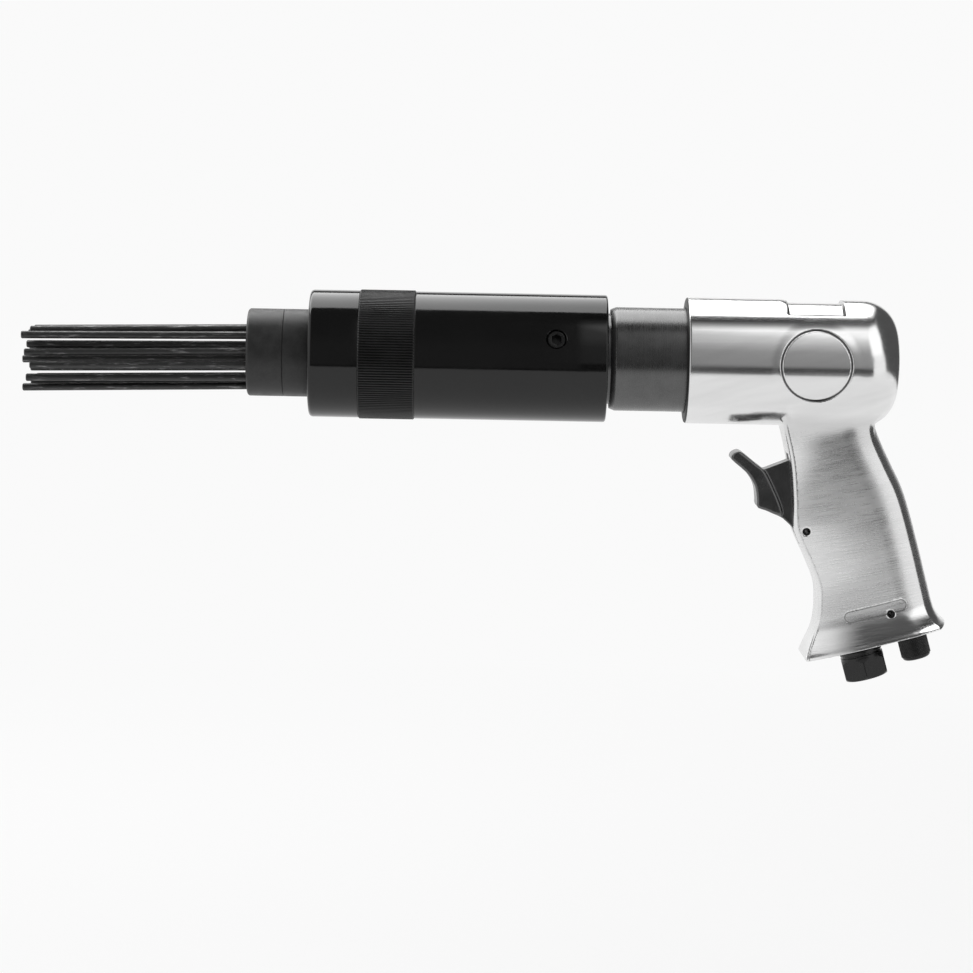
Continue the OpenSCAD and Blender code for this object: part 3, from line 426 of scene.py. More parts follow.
class Look:
    """Nodes of a material or of the world; most steps return the socket that carries their result."""

    def __init__(self, name, blocks=bpy.data.materials, shader="Principled BSDF", **constants):
        self.block = blocks.new(name)
        self.block.use_nodes = True
        self.tree = self.block.node_tree
        self.shader = self.tree.nodes[shader]
        self.fill(self.shader, constants)

    def fill(self, made, inputs):
        """Link the inputs that are given a socket, and set the others to their values."""
        for key, value in inputs.items():
            if isinstance(value, bpy.types.NodeSocket):
                self.tree.links.new(value, made.inputs[key])
            else:
                made.inputs[key].default_value = value

    def node(self, kind, inputs=None, **settings):
        made = self.tree.nodes.new("ShaderNode" + kind)
        for key, value in settings.items():
            setattr(made, key, value)
        self.fill(made, inputs or {})
        return made

    def work(self, operation, a, b=0.0):
        return self.node("Math", {0: a, 1: b}, operation=operation).outputs[0]

    def plus(self, a, b):
        return self.work("ADD", a, b)

    def minus(self, a, b):
        return self.work("SUBTRACT", a, b)

    def times(self, a, b):
        return self.work("MULTIPLY", a, b)

    def larger(self, a, b):
        return self.work("MAXIMUM", a, b)

    def size(self, a):
        return self.work("ABSOLUTE", a)

    def reach(self, a, b):
        """Length of a step of two parts."""
        both = self.node("CombineXYZ", {0: a, 1: b}).outputs[0]
        return self.node("VectorMath", {0: both}, operation="LENGTH").outputs["Value"]

    def spread(self, value, low, high, start=0.35, end=0.65):
        """Value between start and end carried to low and high."""
        return self.node("MapRange", {
            "Value": value, "From Min": start, "From Max": end, "To Min": low, "To Max": high,
        }).outputs[0]

    def zone(self, place, low, high, ends):
        """Spread over a zone whose ends are given in millimetres."""
        return self.spread(place, low, high, ends[0] * MM, ends[1] * MM)

    def mix(self, factor, low, high):
        return self.node("Mix", {"Factor": factor, 2: low, 3: high}).outputs[0]

    def mix_colour(self, factor, low, high):
        return self.node("Mix", {"Factor": factor, 6: low, 7: high}, data_type="RGBA").outputs[2]

    def mix_grey(self, factor, low, high):
        return self.mix_colour(factor, grey(low), grey(high))

    def place(self):
        """Place along each axis of the object's own frame, which at rest is the part's frame."""
        spot = self.node("TexCoord").outputs["Object"]
        return self.node("SeparateXYZ", {0: spot}).outputs[:]

    def noise(self, scale, detail=3.0, roughness=0.5, turn=0.0):
        """Noise in the part's frame, turned about Y; scale is repeats per metre along each axis."""
        where = self.node("TexCoord").outputs["Object"]
        if turn:
            where = self.node("Mapping", {"Vector": where, "Rotation": (0, turn, 0)}).outputs[0]
        scaled = self.node("Mapping", {"Vector": where, "Scale": scale}).outputs[0]
        return self.node("TexNoise", {
            "Vector": scaled, "Scale": 1.0, "Detail": detail, "Roughness": roughness,
        }).outputs["Fac"]

    def paint(self, colour, roughness):
        self.fill(self.shader, {"Base Color": colour, "Roughness": roughness})

    def bump(self, height, distance):
        made = self.node("Bump", {"Height": height, "Distance": distance, "Strength": 1.0})
        self.fill(self.shader, {"Normal": made.outputs[0]})

    def glow(self, colour, strength=1.0):
        return self.node("Emission", {"Color": colour, "Strength": strength}).outputs[0]

    def surface(self, output):
        self.fill(self.tree.nodes["Material Output"], {"Surface": output})

    def blend(self, share, first, second):
        """Surface between two shaders."""
        self.surface(self.node("MixShader", {0: share, 1: first, 2: second}).outputs[0])


# Zones of the finishes and of the painted shade in millimetres: where each change starts and ends
GRIP_ZONE, FLARE_ZONE, MOUTH_ZONE = (-31, -18), (-108, -103), (HEAD_FRONT + 0.55, HEAD_FRONT + 0.8)
NECK_TOP_ZONE, NECK_LOW_ZONE, NECK_FRONT_ZONE = (-23, -19), (-36, -28), (-14.5, -11)
RING_LINE, RECESS_LINE, OVAL_LINE, NEAR_SIDE = (0.22, 0.52), (0.38, 0.62), (0.1, 0.4), (-2, 0)
KNOB_WEAR = (REGULATOR_R - 0.2, REGULATOR_R - 0.04)
RECESS_TOP_FADE = radians(12), radians(24)
# Strengths of the painted shade: ring groove, top of the recess, oval edge, how far inside the oval its
# line lies, overall, neck fillet
RING_SHADE, RECESS_TOP_SHADE, OVAL_SHADE, OVAL_LINE_IN, PAINTED_SHADE_STRENGTH, NECK_SHADE = 0.9, 0.25, 0.6, 0.15, 0.97, 0.3
STEEL_SPECKLE, GRAIN_SPECKLE = 0.08, 0.25


def grip_place(look, x, z):
    """Places along the grip's own front-to-back and upward axes."""
    dx = look.minus(x, GRIP_X * MM)
    return (look.plus(look.times(dx, cos(RAKE)), look.times(z, sin(RAKE))),
            look.minus(look.times(z, cos(RAKE)), look.times(dx, sin(RAKE))))


def oval_painted_shade(look, y, u, w):
    """Painted shade: one along the edge of the oval recess in the grip's side."""
    off = look.size(look.minus(u, OVAL_BACK * MM))
    past = look.larger(look.minus(off, (OVAL_LEN - OVAL_W) / 2 * MM), 0.0)
    reach = look.reach(past, look.plus(w, OVAL_DEPTH * MM))
    edge = look.size(look.minus(reach, (OVAL_W / 2 - OVAL_LINE_IN) * MM))
    return look.times(look.zone(y, 1.0, 0.0, NEAR_SIDE), look.zone(edge, 1.0, 0.0, OVAL_LINE))


def recess_painted_shade(look, x, y, z):
    """Painted shade: one along the edges of the recess on top of the head, less at the very top."""
    off = look.size(look.minus(x, (RECESS_FROM + RECESS_TO) / 2 * MM))
    along = look.minus(off, (RECESS_TO - RECESS_FROM) / 2 * MM)
    turn = look.work("ARCTAN2", look.size(y), z)
    around = look.times(look.minus(turn, RECESS_HALF_ANGLE), HEAD_R * LOWER_LINE_SHARE * MM)
    edge = look.size(look.larger(along, around))
    top_fade = look.spread(turn, RECESS_TOP_SHADE, 1.0, *RECESS_TOP_FADE)
    return look.times(top_fade, look.zone(edge, 1.0, 0.0, RECESS_LINE))


def ring_painted_shade(look, x, z):
    """Painted shade in the ring groove: darkens the groove as if it lay in shadow."""
    reach = look.reach(look.minus(x, RING_X * MM), z)
    return look.zone(look.size(look.minus(reach, RING_R * MM)), RING_SHADE, 0.0, RING_LINE)


def aluminium():
    """Cast aluminium: bright head polished along the tool, grip brushed across its length, with painted
    shade in the ring groove, along the recess and oval edges, on the mouth's front face and in the neck
    fillet.
    """
    look = Look("polished_aluminium", Metallic=1.0)
    x, y, z = look.place()
    u, w = grip_place(look, x, z)
    on_grip = look.zone(z, 1.0, 0.0, GRIP_ZONE)
    on_flare = look.zone(w, 1.0, 0.0, FLARE_ZONE)
    brushed = look.noise((90, 300, 2400), 3.0, 0.6, RAKE - radians(5))
    broad = look.noise((14, 60, 160), 3.0, 0.6, RAKE)
    polish = look.noise((16, 900, 900), 3.0, 0.6)
    # Painted shade: dark lines in the ring groove and along the recess and oval edges, and a dark band on
    # the mouth's front face and chamfer; the same mask also raises the roughness there.
    painted_shade = look.larger(ring_painted_shade(look, x, z), look.zone(x, 1.0, 0.0, MOUTH_ZONE))
    painted_shade = look.larger(painted_shade, recess_painted_shade(look, x, y, z))
    painted_shade = look.larger(painted_shade, look.times(oval_painted_shade(look, y, u, w), OVAL_SHADE))
    painted_shade = look.times(painted_shade, PAINTED_SHADE_STRENGTH)
    # Painted shade: a darker band across the fillet under the head, fading towards the front of the grip.
    neck = look.times(look.zone(z, NECK_SHADE, 0.0, NECK_TOP_ZONE), look.zone(u, 0.0, 1.0, NECK_FRONT_ZONE))
    neck = look.times(neck, look.zone(z, 0.0, 1.0, NECK_LOW_ZONE))
    base = look.mix_grey(look.spread(broad, 0.0, 1.0), 0.80, 0.86)
    base = look.mix_colour(neck, base, grey(0.40))
    side = look.mix(on_flare, look.spread(broad, 0.26, 0.31), 0.17)
    side = look.plus(look.spread(brushed, -0.05, 0.05), side)
    gloss = look.mix(on_grip, look.spread(polish, 0.14, 0.20), side)
    look.paint(look.mix_colour(painted_shade, base, grey(0.015)), look.plus(gloss, look.times(painted_shade, 0.3)))
    streak = look.mix(on_grip, polish, brushed)
    look.bump(look.times(streak, look.mix(on_grip, 0.10, 0.8)), 0.00002)
    return look.block


def gloss_black():
    """Black lacquered steel sleeves."""
    look = Look("gloss_black", Metallic=0.0, IOR=1.47)
    cloud = look.noise((40, 40, 40))
    look.paint(look.mix_grey(cloud, 0.004, 0.008), look.spread(cloud, 0.075, 0.12))
    look.bump(look.noise((260, 260, 260), 2.0), 0.00001)
    return look.block


def turned_steel(name, base, gloss, depth):
    """Turned steel with fine tool marks round the tool axis."""
    look = Look(name, Metallic=1.0)
    marks = look.noise((2600, 14, 14), 3.0, 0.6)
    cloud = look.noise((110, 110, 110), 4.0, 0.65)
    tone = look.spread(cloud, 0.0, 1.0)
    wear = look.plus(look.spread(marks, -0.03, 0.03), look.spread(cloud, gloss - 0.02, gloss + 0.02))
    look.paint(look.mix_grey(tone, base * (1 - STEEL_SPECKLE), base * (1 + STEEL_SPECKLE)), wear)
    look.bump(marks, depth)
    return look.block


def grained(name, base, gloss, grain, depth, metallic=0.0, ior=1.5):
    """Dull finish with an even fine grain."""
    look = Look(name, Metallic=metallic, IOR=ior)
    fine = look.noise((grain, grain, grain), 3.0, 0.6)
    cloud = look.noise((grain / 9, grain / 9, grain / 9))
    tone = look.plus(look.spread(fine, 0.0, 0.5), look.spread(cloud, 0.0, 0.5))
    look.paint(look.mix_grey(tone, base * (1 - GRAIN_SPECKLE), base * (1 + GRAIN_SPECKLE)),
               look.spread(cloud, gloss - 0.05, gloss + 0.05))
    look.bump(fine, depth)
    return look.block


def knob_black():
    """Black oxide, worn bright at the tips of the knurl."""
    look = Look("knob_black", Metallic=0.6)
    x, y, z = look.place()
    reach = look.reach(look.minus(grip_place(look, x, z)[0], REGULATOR_BACK * MM), y)
    worn = look.zone(reach, 0.0, 1.0, KNOB_WEAR)
    fine = look.noise((1800, 1800, 1800), 3.0, 0.6)
    look.paint(look.mix_grey(worn, 0.018, 0.26), look.spread(fine, 0.2, 0.3))
    return look.block


def needle_steel():
    """Dark drawn wire with bright flecks along its length."""
    look = Look("needle_steel", Metallic=1.0)
    fleck = look.noise((90, 900, 900), 4.0, 0.7)
    scale = look.noise((500, 1500, 1500), 3.0, 0.6)
    shine = look.spread(fleck, 0.0, 1.0, 0.56, 0.70)
    look.paint(look.mix_grey(shine, 0.07, 0.30), look.spread(scale, 0.34, 0.55))
    look.bump(scale, 0.00006)
    return look.block


def tinted(name, colour, gloss, grain, metallic):
    """Plain metal or rubber of one colour, with small changes of tone."""
    look = Look(name, Metallic=metallic)
    cloud = look.noise((grain, grain, grain), 4.0, 0.6)
    dark = (*(c * 0.85 for c in colour), 1.0)
    tone = look.mix_colour(look.spread(cloud, 0.0, 1.0), dark, (*colour, 1.0))
    look.paint(tone, look.spread(cloud, gloss - 0.06, gloss + 0.06))
    look.bump(cloud, 0.00003)
    return look.block


ALUMINIUM = aluminium()
GLOSS_BLACK = gloss_black()
BARREL_STEEL = turned_steel("barrel_steel", 0.13, 0.28, 0.000002)
NOSE_STEEL = grained("phosphated_steel", 0.032, 0.44, 2200, 0.00003, 0.35)
KNURL_STEEL = grained("knurl_black", 0.011, 0.34, 1500, 0.00001)
NEEDLE_STEEL = needle_steel()
BLACK_OXIDE = grained("black_oxide", 0.010, 0.26, 1800, 0.00002, 0.2)
KNOB_BLACK = knob_black()
TRIGGER_BLACK = grained("trigger_black", 0.009, 0.24, 1400, 0.00001, ior=2.1)
BARE_STEEL = turned_steel("bare_steel", 0.42, 0.25, 0.000004)
BRONZE = tinted("bronze", (0.62, 0.40, 0.17), 0.32, 300, 1.0)
RUBBER = tinted("seal_rubber", (0.02, 0.02, 0.02), 0.6, 900, 0.0)


# Handle

def grip_half(s):
    return GRIP_HALF * curve(THICK_SHARES, s)


def grip_side(half, t, s):
    """Half width of the grip, from the bevel, at 0, to the front corner, at 1, where the sides bow in."""
    turn_in = curve(BOW_DEPTHS, s) * np.clip((t - BOW_FROM) / (1 - BOW_FROM), 0, 1)**2
    return half + SIDE_TAPER * (TAPER_MIDDLE - t) + 4 * SIDE_CROWN * t * (1 - t) - turn_in


def grip_side_at(u, w):
    """Half width of the grip at a place on its side."""
    s = -w / GRIP_LEN
    fore = -GRIP_FRONT * curve(FRONT_SHARES, s) + GRIP_CORNER
    aft = GRIP_BACK * curve(BACK_SHARES, s) - GRIP_ROUND
    return float(grip_side(grip_half(s), (aft - u) / (aft - fore), s))


def grip_distance(u, y, w):
    """Raked grip: round back between two bevels, crowned sides, round front corners, flared base."""
    s = np.clip(-w / GRIP_LEN, FRONT_SHARES[0][0], 1.0)
    fore = -GRIP_FRONT * curve(FRONT_SHARES, s) + GRIP_CORNER
    rear = GRIP_BACK * curve(BACK_SHARES, s)
    aft = rear - GRIP_ROUND
    half = grip_half(s)
    across = np.abs(y)
    side = grip_side(half, np.clip((u - aft) / (fore - aft), 0, 1), s)
    sides = round_corner(fore - u, across - side + GRIP_CORNER, GRIP_CORNER)
    wide = grip_side(half, 0, s)
    back_r = (wide - GRIP_BEVEL)**2 / (2 * BACK_RISE) + BACK_RISE / 2
    bevel_len = GRIP_ROUND - BACK_RISE
    bevel = (u - aft) * GRIP_BEVEL + (across - wide) * bevel_len
    back = np.hypot(np.maximum(u - rear + back_r, 0), y) - back_r
    wall = meet(meet(sides, bevel / np.hypot(bevel_len, GRIP_BEVEL), BEVEL_EDGE), back, BACK_EDGE)
    return meet(wall, -w - GRIP_LEN, BASE_EDGE)


def head_distance(x, y, z):
    """Turned head with a round, slightly domed rear and a low boss on each side."""
    r = np.hypot(y, z)
    spot = np.hypot(x - RING_X, z)
    boss = BOSS_RISE * smooth_step((BOSS_R + BOSS_FADE - spot) / BOSS_FADE) * (np.abs(y) > HEAD_R / 3)
    inner = HEAD_R - HEAD_ROUND
    bulge = HEAD_DOME * np.clip(1 - (r / inner)**2, 0, 1)**2
    rear = round_corner(x - bulge - (HEAD_REAR - HEAD_DOME - HEAD_ROUND), r - inner, HEAD_ROUND)
    mouth = (r - HEAD_R + HEAD_FRONT - x + MOUTH_EDGE) / sqrt(2)
    return meet(np.maximum(rear - boss, HEAD_FRONT - x), mouth, MOUTH_ROUND)


def handle_distance(p):
    """Casting of head and grip with all its cuts."""
    x, y, z = np.moveaxis(p, -1, 0)
    u, w = to_grip(x, z)
    r = np.hypot(y, z)
    across = np.abs(y)
    on_side = smooth_step((across - NECK_SIDE) / NECK_SIDE_FADE)
    on_side = on_side * smooth_step((u - NECK_FRONT) / NECK_FRONT_FADE)
    on_side = on_side * smooth_step((NECK_TOP - z) / NECK_FADE)
    blend = NECK_BLEND + (NECK_SIDE_BLEND - NECK_BLEND) * on_side
    grip = grip_distance(u, y, w)
    body = soft_join(head_distance(x, y, z), np.maximum(grip, w), blend)
    spot = np.hypot(x - RING_X, z)
    groove = np.maximum(np.abs(spot - RING_R) - RING_W / 2, HEAD_R + BOSS_RISE - RING_DEPTH - r)
    body = cut(body, np.maximum(groove, HEAD_R / 3 - across), GROOVE_EDGE)
    lead = (RECESS_LEAD_DEPTH + RECESS_LEAD_LIFT) * np.clip((x - RECESS_FROM) / RECESS_LEAD + 1, 0, 1)**2
    ramp = np.maximum(HEAD_R - (lead - RECESS_LEAD_LIFT) - r, RECESS_FROM - RECESS_LEAD - x)
    pocket = np.maximum(HEAD_R - RECESS_DEPTH - r, RECESS_FROM - x)
    reach = (np.abs(np.arctan2(y, z)) - RECESS_HALF_ANGLE) * HEAD_R
    recess = np.maximum(np.maximum(np.minimum(ramp, pocket), x - RECESS_TO), reach)
    body = cut(body, recess, RECESS_EDGE)
    body = cut(body, rod(r, x, MOUTH_BORE_R, HEAD_FRONT - PAST, BARREL_REAR), SLOT_EDGE)
    body = cut(body, rod(r, x, CHAMBER_R, HEAD_FRONT, CHAMBER_END))
    slot = np.maximum(np.maximum(u - SLOT_FLOOR, across - SLOT_HALF), span(w, -SLOT_BOTTOM, -SLOT_TOP))
    body = cut(body, slot, SLOT_EDGE)
    for pin_u, pin_w in (TRIGGER_PIN, REGULATOR_PIN):
        body = cut(body, np.hypot(u - pin_u, w - pin_w) - PIN_R, PIN_EDGE)
    reach = (OVAL_LEN - OVAL_W) / 2
    oval = np.hypot(np.maximum(np.abs(u - OVAL_BACK) - reach, 0), w + OVAL_DEPTH) - OVAL_W / 2
    body = cut(body, np.maximum(np.maximum(oval, -grip - OVAL_SUNK), y), OVAL_EDGE)
    stem = np.hypot(y, w + STEM_DEPTH)
    body = cut(body, rod(stem, u, THROTTLE_BORE_R, SLOT_FLOOR - 1, THROTTLE_BORE_END))
    below = -GRIP_LEN - PAST
    inlet = rod(np.hypot(u + INLET_FRONT, y), w, INLET_BORE_R, below, INLET_BORE_LEN - GRIP_LEN)
    spindle = rod(np.hypot(u - REGULATOR_BACK, y), w, SPINDLE_R + SPINDLE_PLAY,
                  below, SPINDLE_LEN + SPINDLE_END_PLAY - GRIP_LEN)
    return cut(cut(body, inlet, BORE_EDGE), spindle, BORE_EDGE)


def build_handle():
    """Casting on a grid that is finer round its small edges."""
    lines = (
        lines_between((147.8, 0.3), (152.0, 0.9), (184.4, 0.32), (215.6, 0.5), (258.2, 0)),
        lines_between((-26.6, 0.4), (-20.0, 0.8), (-18.2, 0.3), (-14.8, 0.8), (20.0, 0.4), (26.6, 0)),
        lines_between((-121.0, 0.4), (-93.0, 0.6), (-16.0, 0.32), (16.0, 0.6), (26.4, 0)),
    )
    points, faces = skin(handle_distance, lines)
    piece("handle_casting", points, faces, ALUMINIUM, replaces=("handle",), slot="polished_aluminium",
          field=handle_distance)


# Turned pieces in front of the head

def build_nose():
    half = SCRIBE_W / 2
    turned("nose_tube_body", [
        (-NOSE_LEN, NOSE_BORE_R, 0.5), (-NOSE_LEN, NOSE_R, 1.2),
        (SCRIBE_X - half, NOSE_R), (SCRIBE_X, NOSE_R - SCRIBE_DEPTH), (SCRIBE_X + half, NOSE_R),
        (0, NOSE_R, 0.2), (0, NOSE_THREAD_R), (NOSE_TAIL, NOSE_THREAD_R), (NOSE_TAIL, NOSE_BORE_R),
    ], NOSE_STEEL, replaces=("nose_tube",), slot="phosphated_steel")


def build_cap():
    under = KNURL_ROOT_R - 0.1
    turned("front_cap_body", [
        (0, NOSE_THREAD_R + THREAD_PLAY), (0, SLEEVE_R, 1.6), (KNURL_X, SLEEVE_R, 0.15), (KNURL_X, under),
        (CAP_LEN, under), (CAP_LEN, SLEEVE_THREAD_R), (CAP_THREAD_X, SLEEVE_THREAD_R),
        (CAP_THREAD_X, SLEEVE_BORE_R), (CAP_WALL, SLEEVE_BORE_R), (CAP_WALL, NOSE_THREAD_R + THREAD_PLAY),
    ], GLOSS_BLACK, replaces=("front_cap",), slot="gloss_black")
    inner = (SLEEVE_THREAD_R + under) / 2
    end = CAP_LEN - 0.05
    stations = (
        (KNURL_X, inner, inner), (KNURL_X, KNURL_ROOT_R, KNURL_ROOT_R),
        (KNURL_X + KNURL_END, KNURL_ROOT_R, KNURL_TIP_R), (end - KNURL_END, KNURL_ROOT_R, KNURL_TIP_R),
        (end, KNURL_ROOT_R, KNURL_ROOT_R), (end, inner, inner),
    )
    across_ridge = ((0.0, 0), (0.36, 1), (0.64, 1))
    angles = [((i + share) * 2 * pi / KNURL_RIDGES, up)
              for i in range(KNURL_RIDGES) for share, up in across_ridge]
    points = [(x, radii[up] * cos(a), radii[up] * sin(a)) for x, *radii in stations for a, up in angles]
    faces = quads_between(len(stations), len(angles))
    piece("front_cap_knurl", points, faces, KNURL_STEEL, replaces=("front_cap",), slot="gloss_black",
          crease=20)


def screw_place(points):
    """Points on the set screw's own axis, third value outwards, in the part's frame."""
    a, b, out = np.asarray(points, float).T
    c, s = cos(SCREW_RISE), sin(SCREW_RISE)
    return np.stack([SCREW_X + a, -out * c + b * s, out * s + b * c], 1)


def build_housing():
    near_screw = [(SCREW_X + dx, SLEEVE_R) for dx in np.linspace(-7.5, 7.5, 11)]
    housing = turned("needle_housing_body", [
        (CAP_THREAD_X, SLEEVE_BORE_R), (CAP_THREAD_X, SLEEVE_THREAD_R - THREAD_PLAY),
        (CAP_LEN, SLEEVE_THREAD_R - THREAD_PLAY), (CAP_LEN, SLEEVE_R, 0.25), *near_screw,
        (HOUSING_REAR, SLEEVE_R, 0.9), (HOUSING_REAR, SPIGOT_R + SPIGOT_PLAY),
        (CYLINDER_FRONT, SPIGOT_R + SPIGOT_PLAY), (CYLINDER_FRONT, SLEEVE_BORE_R),
    ], GLOSS_BLACK, replaces=("needle_housing",), slot="gloss_black")
    count, hole_r = 48, SCREW_R + SCREW_PLAY
    rings = ((hole_r, SPIGOT_R - 1), (hole_r, SLEEVE_R - SCREW_RIM),
             (hole_r + 2 * SCREW_RIM, SLEEVE_R + SCREW_RIM))
    angles = np.arange(count) * 2 * pi / count
    points = [(r * cos(a), r * sin(a), out) for r, out in rings for a in angles]
    faces = quads_between(len(rings), count, closed=False)
    faces += [tuple(range(count - 1, -1, -1)), tuple(range(2 * count, 3 * count))]
    drill = piece("screw_hole_cutter", screw_place(points), faces, GLOSS_BLACK)
    bore = housing.modifiers.new("screw_hole", "BOOLEAN")
    bore.object = drill
    bore.solver = "EXACT"
    depsgraph = bpy.context.evaluated_depsgraph_get()
    drilled = bpy.data.meshes.new_from_object(housing.evaluated_get(depsgraph))
    housing.modifiers.clear()
    housing.data = drilled
    housing.data.set_sharp_from_angle(angle=radians(38))
    bpy.data.objects.remove(drill)


def build_screw():
    """Socket set screw with a broken edge and a hexagon socket."""
    top = SLEEVE_R - SCREW_SUNK

    def distance(p):
        a, b, out = np.moveaxis(p, -1, 0)
        r = np.hypot(a, b)
        body = rod(r, out, SCREW_R - THREAD_PLAY, SPIGOT_R + 0.2, top)
        body = np.maximum(body, (r + out - top - SCREW_R + SCREW_BREAK) * sqrt(0.5))
        flats = np.maximum.reduce(hexagon_flats(a, b)) - SCREW_AF / 2
        return cut(body, np.maximum(flats, top - SOCKET_DEPTH - out), SOCKET_EDGE)

    wide = np.linspace(-4.3, 4.3, 44)
    points, faces = skin(distance, (wide, wide, np.linspace(SPIGOT_R - 0.2, top + 0.4, 36)))
    piece("set_screw", screw_place(points), faces, BLACK_OXIDE, replaces=("housing_set_screw",),
          slot="black_oxide")


def build_barrel():
    groove = BARREL_R - O_RING_DEPTH
    turned("cylinder_barrel", [
        (CYLINDER_FRONT, PISTON_R), (CYLINDER_FRONT, SPIGOT_R, 0.4), (BARREL_FRONT, SPIGOT_R),
        (BARREL_FRONT, BARREL_R - 0.9, 0.3), (BARREL_FRONT + 2.2, BARREL_R, 1.6),
        (O_RING_X, BARREL_R), (O_RING_X, groove), (O_RING_X + O_RING_W, groove),
        (O_RING_X + O_RING_W, BARREL_R), (BARREL_REAR, BARREL_R), (BARREL_REAR, SPIGOT_R),
        (CYLINDER_REAR, SPIGOT_R), (CYLINDER_REAR, PISTON_R),
    ], BARREL_STEEL, replaces=("air_cylinder",), slot="barrel_steel")


# Needles

def build_needles():
    """Each needle on its own solid's axis, with an upset head, a broken tip edge and a tip cut aslant."""
    names = sorted(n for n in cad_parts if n.startswith("needle_") and n[7:].isdigit())
    draw = np.random.default_rng(7)
    count, end_zone = 20, 0.4
    for name in names:
        spots = np.array([v.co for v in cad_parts[name].data.vertices]) / MM
        order = spots[:, 0]
        tip = spots[order < order.min() + end_zone].mean(0)
        rear = spots[order > order.max() - end_zone].mean(0)
        length = np.linalg.norm(tip - rear)
        axis = (tip - rear) / length
        side = np.cross(axis, (0, 0, 1))
        side /= np.linalg.norm(side)
        up = np.cross(side, axis)
        slant = draw.uniform(-NEEDLE_SLANT, NEEDLE_SLANT)
        profile = (*NEEDLE_HEAD, (NEEDLE_HEAD[-1][0], NEEDLE_R), (length - NEEDLE_BREAK, NEEDLE_R),
                   (length, NEEDLE_R - NEEDLE_BREAK))
        points = [rear, tip]
        for (along, r), j in product(profile, range(count)):
            a = 2 * pi * j / count
            shift = slant * r * cos(a) * 0.5 if along > length / 2 else 0
            spoke = side * cos(a) + up * sin(a)
            points.append(rear + axis * (along - max(shift, 0)) + r * spoke)
        rings = len(profile)
        faces = [(0, 2 + (j + 1) % count, 2 + j) for j in range(count)]
        faces += quads_between(rings, count, closed=False, first=2)
        last = 2 + (rings - 1) * count
        faces += [(1, last + j, last + (j + 1) % count) for j in range(count)]
        piece(name + "_wire", points, faces, NEEDLE_STEEL, "needle_pack", (name,), "needle_steel")


# Trigger and spring pins

def closed_curve(points, steps=4):
    """Smooth closed outline through a list of points."""
    p = np.asarray(points, float)
    a, b, c, d = np.roll(p, 1, 0), p, np.roll(p, -1, 0), np.roll(p, -2, 0)
    out = []
    for i, k in product(range(len(p)), range(steps)):
        t = k / steps
        out.append((2 * b[i] + (c[i] - a[i]) * t + (2 * a[i] - 5 * b[i] + 4 * c[i] - d[i]) * t**2
                    + (3 * b[i] - a[i] - 3 * c[i] + d[i]) * t**3) / 2)
    return np.array(out)


def build_trigger():
    """Wide curved finger pad on a narrow web that turns on the pin."""
    size = np.array([TRIGGER_REACH, TRIGGER_RISE])
    pad = closed_curve(np.array(PAD_SHARES) * size)
    web = np.array([
        (0, -BOSS_PIN_R), (WEB_BACK, -BOSS_PIN_R / 2), (WEB_BACK, WEB_TOP_REAR * TRIGGER_RISE),
        (-WEB_FRONT * TRIGGER_REACH, WEB_TOP_FRONT * TRIGGER_RISE),
        *(np.array(WEB_SHARES) * size), (-BOSS_PIN_R, 0),
    ])

    def distance(p):
        u, y, w = np.moveaxis(p, -1, 0)
        wide = rounded_slab(outline_distance(pad, u, w), y, PAD_HALF, PAD_EDGE)
        thin = rounded_slab(outline_distance(web, u, w), y, WEB_HALF, WEB_EDGE)
        boss = rounded_slab(np.hypot(u, w) - BOSS_PIN_R, y, WEB_HALF, WEB_EDGE)
        return cut(join(join(thin, boss), wide, PAD_BLEND), np.hypot(u, w) - PIN_R - PIN_PLAY)

    spans = (-22.6, 5), (-8.2, 8.4), (-5.2, 38.6)
    points, faces = skin(distance, [np.arange(*ends, TRIGGER_GRID) for ends in spans])
    pin = np.array([TRIGGER_PIN[0], 0, TRIGGER_PIN[1]])
    piece("trigger_lever", from_grip(points + pin), faces, TRIGGER_BLACK, "trigger", ("trigger",),
          "trigger_black", field=lambda p: distance(in_grip(p) - pin))


def build_pins():
    """Rolled spring pins with a slit, sunk below the grip's sides."""
    for name, (u, w) in (("trigger_pin", TRIGGER_PIN), ("regulator_pin", REGULATOR_PIN)):
        half = grip_side_at(u, w) - PIN_SUNK
        gap, edge = 0.25, 0.2
        angles = np.linspace(gap, 2 * pi - gap, 33)
        rings = ((-half, PIN_BORE_R), (-half, PIN_R - edge), (edge - half, PIN_R), (half - edge, PIN_R),
                 (half, PIN_R - edge), (half, PIN_BORE_R))
        points = [(u + r * cos(a), y, w + r * sin(a)) for a in angles for y, r in rings]
        count = len(rings)
        faces = quads_between(len(angles), count, closed=False)
        faces += [tuple(range(count)), tuple(range(len(points) - 1, len(points) - 1 - count, -1))]
        piece(name + "_roll", from_grip(points), faces, BLACK_OXIDE, replaces=(name,), slot="black_oxide")


# Fittings under the grip

